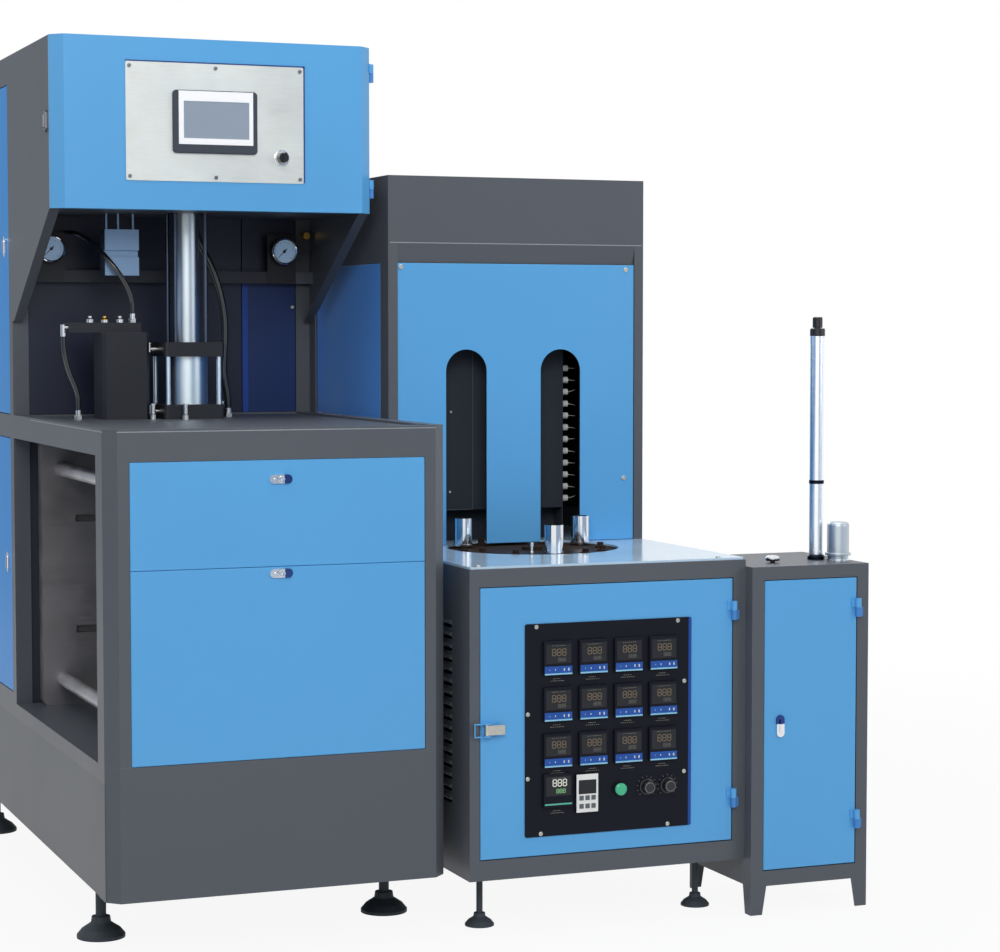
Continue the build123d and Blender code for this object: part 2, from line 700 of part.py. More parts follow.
valve_left, valve_width, valve_depth, valve_height = 223.0, 116.0, 110.0, 212.0
valve_x0 = centre_x - valve_left
valve_x1 = valve_x0 + valve_width
valve_y0, valve_y1 = seal_y - valve_depth / 2, seal_y + valve_depth / 2
valve_top = deck_top + valve_height
valve = block(valve_x0, valve_x1, valve_y0, valve_y1, deck_top, valve_top)
valve = chamfer(valve.edges().filter_by(Axis.Z), 8)
manifold_reach, manifold_depth, manifold_height = 75.0, 30.0, 24.0
manifold_x0 = valve_x0 - manifold_reach
manifold = block(manifold_x0, valve_x1 - 12, seal_y - manifold_depth / 2, seal_y + manifold_depth / 2,
                 valve_top, valve_top + manifold_height)
parts["valve_block"] = valve + manifold

guide_left, guide_width, guide_depth, guide_height = 198.0, 85.0, 50.0, 113.0
guide_setback, guide_drop = 25.0, 35.0
guide_x0 = centre_x - guide_left
guide_x1 = guide_x0 + guide_width
guide_y0 = seal_y + guide_setback
guide_y1 = guide_y0 + guide_depth
guide_z1 = head_bottom - guide_drop
guide_z0 = guide_z1 - guide_height
guide = block(guide_x0, guide_x1, guide_y0, guide_y1, guide_z0, guide_z1)
guide -= block(guide_x0 - 1, guide_x1 + 1, guide_y0 - 1, guide_y0 + 12, guide_z0 + 45, guide_z0 + 62)
guide_rods = [guide]
for x in (guide_x0 + 9, (guide_x0 + guide_x1) / 2 - 4, guide_x1 - 9):
    guide_rods.append(post_z(x, (guide_y0 + guide_y1) / 2, guide_z1, head_bottom + 4, 4.5))
parts["guide_unit"] = group(guide_rods)

fitting_z = valve_top + manifold_height


def hose_fitting(x, y, z, hose_r, height=22.0):
    """Hexagon body with a collar that a hose stands on."""
    hexagon = Pos(x, y, z) * extrude(RegularPolygon(hose_r + 5, 6), height * 0.45)
    return hexagon + post_z(x, y, z, z + height, hose_r + 1.5)


thin_hose_r, thick_hose_r = 6.0, 9.0
fitting_height = 22.0
manifold_z = valve_top + manifold_height / 2
elbow_drop, elbow_reach = 22.0, 10.0
hose_a_low = (centre_x + 118, seal_y + 50, deck_top + fitting_height)
hose_b_low = (valve_x1 - 29, seal_y, fitting_z + fitting_height)
hose_c_high = (manifold_x0 - elbow_reach, seal_y, manifold_z - elbow_drop)
hose_c_low = (manifold_x0 + 26, seal_y, deck_top + fitting_height)
fittings = [
    hose_fitting(hose_b_low[0], hose_b_low[1], fitting_z, thin_hose_r),
    hose_fitting(hose_c_low[0], hose_c_low[1], deck_top, thin_hose_r),
    bar_x(seal_y, manifold_z, hose_c_high[0], manifold_x0, 7)
    + post_z(hose_c_high[0], seal_y, hose_c_high[2], manifold_z + 7, 7),
]
for reach in (56, 92, 130):
    plug = turned([(0, 0), (9, 0), (9, 8), (5, 11), (5, 16), (0, 18)])
    fittings.append(Pos(manifold_x0 + reach, seal_y, fitting_z) * plug)
silencer_x, silencer_z = blower_width - post / 2, gauge_z + 42
fittings.append(bar_y(silencer_x, silencer_z, bench_depth - 34, bench_depth, 9))

elbow_x = centre_x - flange_side / 2
fittings.append(hose_fitting(hose_a_low[0], hose_a_low[1], deck_top, thick_hose_r))
for z in (deck_top + flange_thick / 2, seal_high + flange_thick / 2):
    elbow = bar_x(seal_y, z, elbow_x - 20, elbow_x, 7)
    elbow += post_z(elbow_x - 20, seal_y, z - 7, z + 16, 7)
    fittings.append(elbow)
for x, y in ((centre_x + 119, seal_y + 105), (centre_x - 100, seal_y - 55), (centre_x - 30, seal_y - 100)):
    stud = turned([(0, 0), (9, 0), (9, 10), (6, 12), (6, 34), (8, 34), (8, 38), (0, 38)])
    fittings.append(Pos(x, y, deck_top) * stud)
parts["air_fittings"] = group(fittings)

# Two pressure gauges on the beam, each with its own pointer

gauge_back = bench_depth - beam_depth - sheet
gauge_front = gauge_back - gauge_depth
gauges = []
for name, x in (("left", gauge_inset), ("right", blower_width - gauge_inset)):
    bracket = block(x - 38, x + 38, gauge_back, gauge_back + sheet, beam_low, gauge_z + 42)
    case = turned([(0, 0), (gauge_r, 0), (gauge_r, gauge_depth), (gauge_r - 3, gauge_depth),
                   (gauge_r - 3, gauge_depth - gauge_dial_recess), (0, gauge_depth - gauge_dial_recess)])
    case = Pos(x, gauge_back, gauge_z) * Rot(90, 0, 0) * case
    case -= bar_y(x, gauge_z, gauge_front, gauge_back - 8, 2 + running)
    gauges += [bracket, case]
    dial_y = gauge_front + gauge_dial_recess
    pointer = bar_y(x, gauge_z, dial_y - 3, dial_y + 12, 2)
    pointer += bar_y(x, gauge_z, dial_y - 3, dial_y - 1, 4)
    blade = Pos(x, dial_y - 1, gauge_z) * Rot(90, 0, 0) * extrude(
        plan_face([(-1.5, -9), (1.5, -9), (0.5, 23), (-0.5, 23)]), 1.2)
    at_zero = Pos(x, 0, gauge_z) * Rot(0, -135, 0) * Pos(-x, 0, -gauge_z)
    parts["gauge_pointer_" + name] = at_zero * (pointer + blade)
parts["pressure_gauges"] = group(gauges)

# Air hoses, each a run of arcs between its fittings

hose_a_high = (431.0, 868.0, head_bottom + 4)
hose_b_high = (130.0, wall_y, silencer_z)
hose_routes = {
    "hose_stretch": (thick_hose_r, [hose_a_high, (431, 868, 1636), (437, 867, 1606), (450, 865, 1577),
                                    (467, 862, 1546), (481, 859, 1508), (494, 856, 1462), (502, 853, 1410),
                                    (502, 851, 1356), (498, 850, 1304), (498, 850, 1264), (502, 850, 1238),
                                    (508, 850, 1210), hose_a_low]),
    "hose_valve": (thin_hose_r, [hose_b_high, (130, 988, 1622), (132, 952, 1621), (137, 916, 1618),
                                 (146, 882, 1611), (158, 852, 1599), (172, 828, 1582), (188, 811, 1561),
                                 (205, 801, 1538), (221, 797, 1516), (236, 797, 1492), (248, 798, 1466),
                                 (254, 800, 1442), hose_b_low]),
    "hose_drain": (thin_hose_r, [hose_c_high, (82, 800, 1336), (86, 800, 1310), (92, 800, 1284),
                                 (101, 800, 1259), (112, 800, 1235), (118, 800, 1209), hose_c_low]),
}


def hose_solid(points, radius):
    """Tube along straight runs joined by arcs as large as the two runs at each corner allow."""
    radii = []
    vectors = [Vector(*p) for p in points]
    for before, here, after in zip(vectors, vectors[1:], vectors[2:]):
        turn = (here - before).get_angle(after - here)
        shorter = min((here - before).length, (after - here).length)
        radii.append(0.45 * shorter / tan(radians(turn / 2)))
    print("arc radii", [round(r) for r in radii])
    path = FilletPolyline(*points, radius=radii)
    start = Plane(origin=points[0], z_dir=vectors[1] - vectors[0])
    tube = sweep(start * Circle(radius), path=path)
    share = tube.volume / (path.length * pi * radius ** 2)
    print("length", round(path.length), "volume share", round(share, 4))
    return tube


for name, (radius, points) in hose_routes.items():
    parts[name] = hose_solid(points, radius)

# Levelling feet: bell-shaped rubber pads on threaded stems, under the blower and the heater

pad_profile = [(0, 0), (foot_pad_r, 0), (foot_pad_r, 7), (foot_pad_r * 0.8, 20), (foot_pad_r * 0.42, 34),
               (foot_pad_r * 0.38, foot_pad_height), (0, foot_pad_height)]
small_pad = 0.62
pads, stems = [], []
blower_feet = [(x, y) for x in (foot_inset, blower_width - foot_inset) for y in (foot_front_y, foot_back_y)]
heater_foot_inset = 70.0
heater_feet = [(x, y) for x in (heater_x + heater_foot_inset, heater_right - heater_foot_inset)
               for y in (heater_front + 120, heater_back - heater_foot_inset)]
for feet, share, top in ((blower_feet, 1.0, floor_gap), (heater_feet, small_pad, heater_bottom)):
    pad_top = foot_pad_height * share
    for x, y in feet:
        pads.append(Pos(x, y, 0) * turned([(r * share, z * share) for r, z in pad_profile]))
        stem = post_z(0, 0, pad_top, top, foot_stem_r * share)
        stem += Pos(0, 0, top - 14) * extrude(RegularPolygon(foot_stem_r * 1.8 * share, 6), 14)
        stems.append(Pos(x, y, 0) * stem)
parts["levelling_feet"] = group(pads + stems)

# Heater cabinet: folded sheet box with a door frame, louvres in its left side and a crossbar inside


def cabinet(x0, x1, y0, y1, z0, z1, borders, fold):
    """Sheet box with a closed back, and a door opening set by its left, right, top and bottom
    borders; the sheet is folded back around the opening."""
    left, right, top, bottom = borders
    shell = block(x0, x1, y0, y1, z0, z1)
    shell -= block(x0 + sheet, x1 - sheet, y0 + sheet, y1 - sheet, z0 + sheet, z1 - sheet)
    fold_z = (z0 + bottom - sheet, z1 - top + sheet)
    shell += block(x0 + left - sheet, x1 - right + sheet, y0, y0 + fold, *fold_z)
    return shell - block(x0 + left, x1 - right, y0 - 1, y0 + fold + 1, z0 + bottom, z1 - top)


heater_borders = (door_left_border, door_right_border, door_top_border, door_bottom_border)
heater = cabinet(heater_x, heater_right, heater_front, heater_back, heater_bottom, heater_top,
                 heater_borders, frame_fold)
heater -= post_z(table_x, table_centre_y, heater_top - 10, heater_top + 1, table_hole_r + 16)
louvre_y0, louvre_y1 = 78.0, 138.0
louvre_low, louvre_pitch, louvre_count = 291.0, 27.0, 16
for row in range(louvre_count):
    z = louvre_low + row * louvre_pitch
    heater -= block(heater_x - 1, heater_x + sheet + 1, louvre_y0, louvre_y1, z, z + 9)
crossbar_z = 560.0
heater += block(heater_x + sheet, heater_right - sheet, table_centre_y - 45, table_centre_y + 45,
                crossbar_z, crossbar_z + 40)
strike_x = heater_x + 12
heater += block(strike_x - 9, strike_x + 9, heater_front - 3, heater_front, toggle_z - 13, toggle_z + 13)
heater += block(strike_x - 2, strike_x + 4, heater_front - 8, heater_front - 3, toggle_z - 10, toggle_z + 10)
parts["heater_cabinet"] = heater

top_gap = 3.0
table = block(heater_x + top_gap, heater_right - top_gap, heater_front + top_gap, heater_back - top_gap,
              heater_top, table_top)
table = fillet(table.edges().filter_by(Axis.Z), 6)
table -= post_z(table_x, table_centre_y, heater_top - 1, table_top + 1, table_hole_r)
parts["tabletop"] = table

# Heater door with its control panel, and the toggle latch that draws it shut

hd_x0, hd_x1 = heater_x + door_left_border + door_gap, heater_right - door_right_border - door_gap
hd_z0, hd_z1 = heater_bottom + door_bottom_border + door_gap, heater_top - door_top_border - door_gap
heater_door = Pos(hd_x0, heater_front, hd_z0) * pan(hd_x1 - hd_x0, hd_z1 - hd_z0)
window = 20.0
heater_door -= block(panel_x0 + window, panel_x1 - window, heater_front - 1, heater_front + pan_sheet + 1,
                     panel_z0 + window, panel_z1 - window)
heater_hinge_x = heater_right - door_right_border - door_gap / 2
hinge_stand = knuckle_r + 1
heater_hinge_zs = (279.0, 722.0)
for z in heater_hinge_zs:
    fixed, moving = hinge(-1)
    place = Pos(heater_hinge_x, heater_front - hinge_stand, z)
    hinge_fixed.append(place * fixed)
    heater_door += place * moving

panel_face = heater_front - panel_thick
control = Pos((panel_x0 + panel_x1) / 2, heater_front, (panel_z0 + panel_z1) / 2) * Rot(90, 0, 0) * extrude(
    RectangleRounded(panel_x1 - panel_x0, panel_z1 - panel_z0, 5), panel_thick)
module_spots = [(module_x - module_size / 2 + column * module_pitch_x, module_z - row * module_pitch_z)
                for row in range(3) for column in range(4)]
module_spots = [(x + module_size / 2, z) for x, z in module_spots] + [(module_x, last_module_z)]
modules = []
socket_edge = 4.0


def panel_module(x, z, width, height):
    """Panel instrument: a bezel in front of the panel, and its case through a cut-out behind it."""
    front = Pos(x, panel_face, z) * Rot(90, 0, 0) * extrude(RectangleRounded(width, height, 3), module_proud)
    front = chamfer(front.faces().sort_by(Axis.Y)[0].edges(), 1)
    half_w, half_h = width / 2 - socket_edge, height / 2 - socket_edge
    cut = block(x - half_w, x + half_w, panel_face, heater_front + 1, z - half_h, z + half_h)
    case = block(x - half_w, x + half_w, panel_face, panel_face + module_body, z - half_h, z + half_h)
    return front + case, cut


for x, z in module_spots:
    module, cut = panel_module(x, z, module_size, module_height)
    modules.append(module)
    control -= cut
keypad, cut = panel_module(keypad_x, keypad_z, keypad_w, keypad_h)
control -= cut
modules.append(keypad)

button_shaft_r = 6.0
control -= bar_y(button_x, button_z, panel_face - 1, heater_front + 1, button_shaft_r + running)
collar = bar_y(button_x, button_z, panel_face - 3, panel_face, button_r + 3)
collar -= bar_y(button_x, button_z, panel_face - 4, panel_face + 1, button_shaft_r + running)
control += collar
button = turned([(0, 0), (button_r - 3, 0), (button_r, 2), (button_r, 7), (button_shaft_r, 7),
                 (button_shaft_r, 34), (0, 34)])
button_front = panel_face - 3 - button_travel - 0.5 - 7
parts["start_button"] = Pos(button_x, button_front, button_z) * Rot(-90, 0, 0) * button
for name, x in zip(("dial_left", "dial_right"), dial_xs):
    control -= bar_y(x, dial_z, panel_face - 1, heater_front + 1, 4 + running)
    dial = turned([(0, 0), (dial_r - 5, 0), (dial_r - 4, 1), (dial_r - 3, dial_proud - 4),
                   (dial_r, dial_proud - 3), (dial_r, dial_proud), (4, dial_proud),
                   (4, dial_proud + 14), (0, dial_proud + 14)])
    for notch in range(12):
        turn_by = radians(30 * notch)
        dial -= post_z((dial_r - 3) * cos(turn_by), (dial_r - 3) * sin(turn_by), -1, dial_proud - 4, 2)
    parts[name] = Pos(x, panel_face - skin_gap - dial_proud, dial_z) * Rot(-90, 0, 0) * dial
parts["control_panel"] = group([control] + modules)

toggle_x = hd_x0 + 12
toggle_axis = heater_front - 11
lever_end = 42.0
ears = block(toggle_x - 10, toggle_x + 34, heater_front - 3, heater_front, toggle_z - 16, toggle_z + 16)
for side in (-1, 1):
    z = toggle_z + side * 14.5
    ears += block(toggle_x - 8, toggle_x + 8, toggle_axis - 5, heater_front - 3, z - 1.5, z + 1.5)
    ears += bar_x(toggle_axis - 1, z, heater_x + 8, toggle_x - 5, 1.5)
ears += post_z(heater_x + 8, toggle_axis - 1, toggle_z - 16, toggle_z + 16, 1.5)
ears -= post_z(toggle_x, toggle_axis, toggle_z - 20, toggle_z + 20, 3 + running)
heater_door += ears
parts["heater_door"] = heater_door
lever = post_z(toggle_x, toggle_axis, toggle_z - 16, toggle_z + 16, 3)
lever += post_z(toggle_x, toggle_axis, toggle_z - 12, toggle_z + 12, 5.5)
lever += block(toggle_x, toggle_x + lever_end, toggle_axis - 5, toggle_axis - 2,
               toggle_z - 11, toggle_z + 11)
parts["toggle_lever"] = lever

# Turntable and its drive: a gearbox on the crossbar, the bearing column, and the fixed rim that the
# cup wheels run on

hub_low = disc_top - disc_thick - hub_height
shaft_r = 15.0
gear_top = crossbar_z + 40 + 110
drive = block(table_x - 60, table_x + 60, table_centre_y - 45, table_centre_y + 45,
              crossbar_z + 40, gear_top)
drive += post_z(table_x, table_centre_y, gear_top, hub_low - 1, 30)
drive -= post_z(table_x, table_centre_y, gear_top - 40, hub_low + 1, shaft_r + running)
wheel_top = disc_top - disc_thick - 6
rim_r = cup_circle_r + wheel_r + skin_gap
rim_base = wheel_top - wheel_thick - 2
rim = turned([(rim_r, rim_base), (table_hole_r + 14, rim_base), (table_hole_r + 14, heater_top),
              (table_hole_r + 4, heater_top), (table_hole_r + 4, wheel_top), (rim_r, wheel_top)])
parts["turntable_drive"] = group([drive, Pos(table_x, table_centre_y, 0) * rim])

disc = turned([(0, hub_low - 30), (shaft_r, hub_low - 30), (shaft_r, hub_low), (42, hub_low),
               (42, disc_top - disc_thick), (disc_r, disc_top - disc_thick), (disc_r, disc_top),
               (26, disc_top), (26, disc_top + 8), (14, disc_top + 12), (14, disc_top + 16),
               (0, disc_top + 16)])
cup_base = table_top
spots = []
for station in range(stations):
    angle = radians(station_offset + station * 360 / stations)
    spot = (cup_circle_r * cos(angle), cup_circle_r * sin(angle))
    spots.append(spot)
    if station in loaded_stations:
        disc -= post_z(*spot, disc_top - disc_thick - 1, disc_top + 1, cup_shaft_r + running)
    else:
        disc += Pos(*spot, disc_top) * turned([(0, 0), (13, 0), (13, 4), (8, 6), (8, 14), (0, 15)])
parts["turntable"] = Pos(table_x, table_centre_y, 0) * disc
cup_shape = turned([(0, wheel_top - wheel_thick), (wheel_r, wheel_top - wheel_thick), (wheel_r, wheel_top),
                    (cup_shaft_r, wheel_top), (cup_shaft_r, cup_base), (cup_flange_r, cup_base),
                    (cup_flange_r, cup_base + cup_flange), (cup_r, cup_base + cup_flange),
                    (cup_r, cup_base + cup_height), (cup_bore_r, cup_base + cup_height),
                    (cup_bore_r, cup_base + 8), (0, cup_base + 8)])
for number, station in enumerate(loaded_stations, start=1):
    x, y = spots[station]
    parts[f"preform_cup_{number}"] = Pos(table_x + x, table_centre_y + y, 0) * cup_shape

# Oven: folded hood, blue front with two arched ways for the preforms, side panels, and the lamp rack

oven_x0, oven_x1 = heater_x + oven_inset, heater_right - oven_inset
oven_back = heater_back - top_gap
oven = block(oven_x0, oven_x1, oven_front_y, oven_back, table_top, oven_top)
oven -= block(oven_x0 + sheet, oven_x1 - sheet, oven_front_y + sheet, oven_back - sheet,
              table_top - 1, oven_top - sheet)
oven_open_x0, oven_open_x1 = oven_x0 + oven_border, oven_x1 - oven_border
oven += block(oven_open_x0 - sheet, oven_open_x1 + sheet, oven_front_y, oven_front_y + frame_fold,
              table_top, oven_panel_top + sheet)
strip = [(oven_front_y, oven_fold_z), (oven_front_y + strip_recess, oven_panel_top),
         (oven_front_y + strip_recess + sheet, oven_panel_top), (oven_front_y + sheet, oven_fold_z)]
oven += side_plate(strip, oven_open_x0, oven_open_x1)
oven -= side_plate([(oven_front_y - 1, oven_panel_top), (oven_front_y + strip_recess, oven_panel_top),
                    (oven_front_y, oven_fold_z), (oven_front_y - 1, oven_fold_z)],
                   oven_open_x0, oven_open_x1)
oven -= block(oven_open_x0, oven_open_x1, oven_front_y - 1, oven_front_y + frame_fold + 1,
              table_top - 1, oven_panel_top)
side_open_y0, side_open_y1 = oven_front_y + 60, oven_back - 40
side_open_z0, side_open_z1 = table_top + 60, oven_panel_top
for x0 in (oven_x0 - 1, oven_x1 - sheet - 1):
    oven -= block(x0, x0 + sheet + 2, side_open_y0, side_open_y1, side_open_z0, side_open_z1)
parts["oven_shell"] = oven

arch_xs = (table_x - arch_spacing / 2, table_x + arch_spacing / 2)
front_gap = fixed_gap
panel_w = oven_open_x1 - oven_open_x0 - 2 * front_gap
panel_h = oven_panel_top - table_top - 2 * front_gap
oven_panel = Pos(oven_open_x0 + front_gap, oven_front_y + 2, table_top + front_gap) * pan(panel_w, panel_h)
lip_depth = 7.0
for x in arch_xs:
    straight = arch_top - arch_radius
    way = Pos(x, oven_front_y + 60, straight) * Rot(90, 0, 0) * extrude(Circle(arch_radius), 80)
    way += block(x - arch_radius, x + arch_radius, oven_front_y - 20, oven_front_y + 60,
                 table_top - 5, straight)
    lip_back = oven_front_y + 2 + lip_depth
    lip = Pos(x, lip_back, straight) * Rot(90, 0, 0) * extrude(Circle(arch_radius + 2.5), lip_depth)
    lip += block(x - arch_radius - 2.5, x + arch_radius + 2.5, oven_front_y + 2, lip_back,
                 table_top + front_gap, straight)
    oven_panel = oven_panel + lip - way
oven_panel -= block(*arch_xs, oven_front_y + 2 + pan_sheet, oven_front_y + 2 + pan_depth + 1,
                    table_top, table_top + front_gap + pan_sheet + cup_flange)
oven_panels = [oven_panel]
blank_w = side_open_y1 - side_open_y0 - 2 * fixed_gap
blank_h = side_open_z1 - side_open_z0 - 2 * fixed_gap
blank_z = side_open_z0 + fixed_gap
oven_panels.append(Pos(oven_x0, side_open_y1 - fixed_gap, blank_z) * FACES_LEFT * pan(blank_w, blank_h, 10))
oven_panels.append(Pos(oven_x1, side_open_y0 + fixed_gap, blank_z) * FACES_RIGHT * pan(blank_w, blank_h, 10))
parts["oven_panels"] = group(oven_panels)

rack_x0, rack_x1 = lamp_x0, lamp_x1
rack_y0, rack_y1 = lamp_y - 26, lamp_y + 30
rack_top = lamp_low_z + (lamp_count - 1) * lamp_pitch + 55
rack = block(rack_x0, rack_x1, rack_y0, rack_y1, table_top, rack_top)
rack -= block(rack_x0 + sheet, rack_x1 - sheet, rack_y0 - 1, rack_y1 - sheet,
              table_top - 1, rack_top - sheet)
rack -= block(rack_x0 - 1, rack_x1 + 1, rack_y0 - 1, rack_y1 - sheet, table_top - 1, table_top + 12)
lamps, sockets = [], []
for row in range(lamp_count):
    z = lamp_low_z + row * lamp_pitch
    rack -= bar_x(lamp_y, z, rack_x0 - 1, rack_x0 + sheet + 1, lamp_r)
    rack -= bar_x(lamp_y, z, rack_x1 - sheet - 1, rack_x1 + 1, lamp_r)
    lamps.append(bar_x(lamp_y, z, rack_x0, rack_x1, lamp_r))
    for x0, x1 in ((rack_x0 - socket_length, rack_x0), (rack_x1, rack_x1 + socket_length)):
        sockets.append(bar_x(lamp_y, z, x0, x1, socket_r))
parts["lamp_rack"] = rack
parts["heater_lamps"] = group(lamps + sockets)

# Narrow side cabinet on tapered folded legs

side_right = side_x + side_width
side_borders = (side_left_border, side_right_border, side_top_border, side_bottom_border)
narrow = cabinet(side_x, side_right, side_front, side_back, side_bottom, side_top, side_borders, 20.0)
leg_front = [(0, 0), (leg_foot, 0), (leg_top, side_bottom), (0, side_bottom)]
for x, inward in ((side_x, 1), (side_right, -1)):
    wing = [(x + inward * px, z) for px, z in leg_front]
    for y, back in ((side_front, 1), (side_back, -1)):
        narrow += upright(wing, *sorted((y, y + back * leg_sheet)))
        flank = [(y + back * px, z) for px, z in leg_front]
        narrow += side_plate(flank, *sorted((x, x + inward * leg_sheet)))
narrow -= post_z(side_button_x, side_button_y, side_top - 10, side_top + 1, 6 + running)
narrow -= post_z(column_x, column_y, side_top - 10, side_top + 1, column_rod_r + 1)
parts["side_cabinet"] = narrow

sd_x0, sd_x1 = side_x + side_left_border + door_gap, side_right - side_right_border - door_gap
sd_z0, sd_z1 = side_bottom + side_bottom_border + door_gap, side_top - side_top_border - door_gap
side_door = Pos(sd_x0, side_front, sd_z0) * pan(sd_x1 - sd_x0, sd_z1 - sd_z0)
side_latch_x, side_latch_z = sd_x0 + 41, 447.0
side_door -= bar_y(side_latch_x, side_latch_z, side_front - 1, side_front + pan_sheet + 1,
                   latch_shaft_r + running)
side_hinge_x = side_right - side_right_border - door_gap / 2
side_hinge_zs = (213.0, 720.0)
for z in side_hinge_zs:
    fixed, moving = hinge(-1)
    place = Pos(side_hinge_x, side_front - hinge_stand, z)
    hinge_fixed.append(place * fixed)
    side_door += place * moving
parts["side_door"] = side_door
parts["side_latch"] = Pos(side_latch_x, side_front, side_latch_z) * quarter_latch(24, 54, 90, True)
parts["door_hinges"] = group(hinge_fixed)

column = Pos(column_x, column_y, 0)
base_collar, top_collar = 12.0, 18.0
column_low = side_top + base_collar
column_bore_r = column_rod_r + 4
tube = turned([(column_bore_r, column_low), (column_r, column_low), (column_r, column_top),
               (column_bore_r, column_top)])
foot_collar = turned([(0, side_top), (column_r + 4, side_top), (column_r + 4, column_low - 3),
                      (column_r + 1, column_low), (0, column_low)])
collar_bore_r = column_rod_r + running
collar_top = column_top + top_collar
head_collar = turned([(collar_bore_r, column_top), (column_r + 0.5, column_top),
                      (column_r + 0.5, collar_top), (collar_bore_r, collar_top)])
band_z = 1008.0
band = turned([(column_r, band_z), (column_r + 1.2, band_z), (column_r + 1.2, band_z + 8),
               (column_r, band_z + 8)])
rod_low = column_low + 40
rod_high = collar_top + 46
rod_piston_r = column_bore_r - running
column_rod = turned([(0, rod_low), (rod_piston_r, rod_low), (rod_piston_r, rod_low + 16),
                     (column_rod_r, rod_low + 16), (column_rod_r, rod_high - 26),
                     (column_bore_r, rod_high - 26), (column_bore_r, rod_high - 2),
                     (column_rod_r + 2, rod_high), (0, rod_high)])
parts["column_rod"] = column * column_rod
side_cup_top = side_top + 84
side_cup = turned([(0, side_top), (cup_flange_r + 2, side_top), (cup_flange_r + 2, side_top + cup_flange),
                   (cup_r + 1, side_top + cup_flange), (cup_r + 1, side_cup_top),
                   (cup_bore_r + 1, side_cup_top), (cup_bore_r + 1, side_top + 8), (0, side_top + 8)])
cup_place = Pos(side_cup_x, side_cup_y, 0)
parts["column_and_cup"] = group([column * (tube + foot_collar + head_collar + band), cup_place * side_cup])
push = turned([(0, -16), (6, -16), (6, button_travel + 1), (side_button_r, button_travel + 1),
               (side_button_r, button_travel + 9), (side_button_r - 3, button_travel + 12),
               (0, button_travel + 12)])
parts["push_button"] = Pos(side_button_x, side_button_y, side_top) * push

# The frame's origin is the middle of the floor space that the machine covers

whole = Compound(list(parts.values())).bounding_box()
to_origin = Location((-whole.center().X, -whole.center().Y, -whole.min.Z))

os.makedirs("parts", exist_ok=True)
for name, solid in parts.items():
    export_step(solid.moved(to_origin), f"parts/{name}.step")
print(len(parts), "nodes, size", [round(v) for v in (whole.size.X, whole.size.Y, whole.size.Z)])
print("origin at", [round(v, 3) for v in to_origin.position])
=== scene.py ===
# %% [markdown]
# # A blow moulding machine, dressed for its picture
# The CAD frame already holds every rigid piece at its real size. This lesson adds what a drawing
# leaves out: paint, brushed steel, rubber, displays, dials, screws, wires and hoses.
# We load the frame first.

# %% Load the frame
import bpy
import bmesh
import random
from math import cos, sin, pi, radians
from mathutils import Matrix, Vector


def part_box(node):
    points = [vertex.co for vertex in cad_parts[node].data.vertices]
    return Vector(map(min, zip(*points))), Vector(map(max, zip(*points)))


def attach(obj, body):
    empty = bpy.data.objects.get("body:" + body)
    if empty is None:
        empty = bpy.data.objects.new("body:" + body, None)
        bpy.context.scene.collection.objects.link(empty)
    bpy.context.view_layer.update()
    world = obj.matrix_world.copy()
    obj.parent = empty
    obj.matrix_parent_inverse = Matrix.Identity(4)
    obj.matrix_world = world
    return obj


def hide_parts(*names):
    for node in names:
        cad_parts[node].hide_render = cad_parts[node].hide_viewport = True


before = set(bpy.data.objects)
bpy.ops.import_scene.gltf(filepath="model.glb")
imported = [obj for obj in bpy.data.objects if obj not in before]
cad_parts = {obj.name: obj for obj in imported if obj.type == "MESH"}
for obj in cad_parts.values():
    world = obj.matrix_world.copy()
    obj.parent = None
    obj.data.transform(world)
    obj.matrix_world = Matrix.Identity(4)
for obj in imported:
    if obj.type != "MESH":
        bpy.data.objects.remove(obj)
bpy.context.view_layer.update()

# %% [markdown]
# The drawing counts millimetres from the blower's front left corner, and the frame counts metres
# from the middle of the floor space. One small function turns the first into the second, so every
# size below can be read straight off the machine.

# %% From drawing millimetres to frame metres
ORIGIN_X, ORIGIN_Y = 905.0, 902.5


def at(x, y, z):
    return Vector((x - ORIGIN_X, y - ORIGIN_Y, z)) / 1000


print("bench corner at", [round(v, 3) for v in at(0, 0, 0)])

# %% [markdown]
# A long lens far away keeps upright edges almost parallel, as in a catalogue picture. The camera
# stands to the left and looks slightly down, so the left side of the blower shows.

# %% Camera
def placed_object(name, data):
    """New object in the scene for a mesh, a curve, a lamp or a camera."""
    made = bpy.data.objects.new(name, data)
    bpy.context.scene.collection.objects.link(made)
    return made


DOWN, ASIDE = 0.058, 0.379
lens = bpy.data.cameras.new("photo_camera")
lens.lens = 90.0
lens.sensor_width = 36.0
lens.sensor_fit = "HORIZONTAL"
lens.clip_end = 60.0
camera = placed_object("photo_camera", lens)
camera.location = (-2.090736, -6.158565, 1.375868)
camera.rotation_euler = (pi / 2 - DOWN, 0.0, -ASIDE)
bpy.context.scene.camera = camera
print("camera at", [round(v, 2) for v in camera.location])

# %% [markdown]
# ## Colours and shader groups
# A colour picked from a screen is in sRGB, and Blender's shaders work in linear light, so a helper
# converts it. Every material starts as an empty Principled BSDF that the next steps fill. Small
# functions stand for the nodes that come back in every tree.

# %% Colour and material helpers
def srgb(r, g, b):
    """Linear colour from 0 to 255 screen values."""
    def channel(v):
        v /= 255
        return v / 12.92 if v <= 0.04045 else ((v + 0.055) / 1.055) ** 2.4
    return (channel(r), channel(g), channel(b), 1.0)


def blank_material(name, **sockets):
    """New material and its Principled BSDF, with constants set on the shader's own sockets."""
    material = bpy.data.materials.new(name)
    material.use_nodes = True
    shader = material.node_tree.nodes["Principled BSDF"]
    for label, value in sockets.items():
        shader.inputs[label.replace("_", " ")].default_value = value
    material.diffuse_color = shader.inputs["Base Color"].default_value
    return material, shader


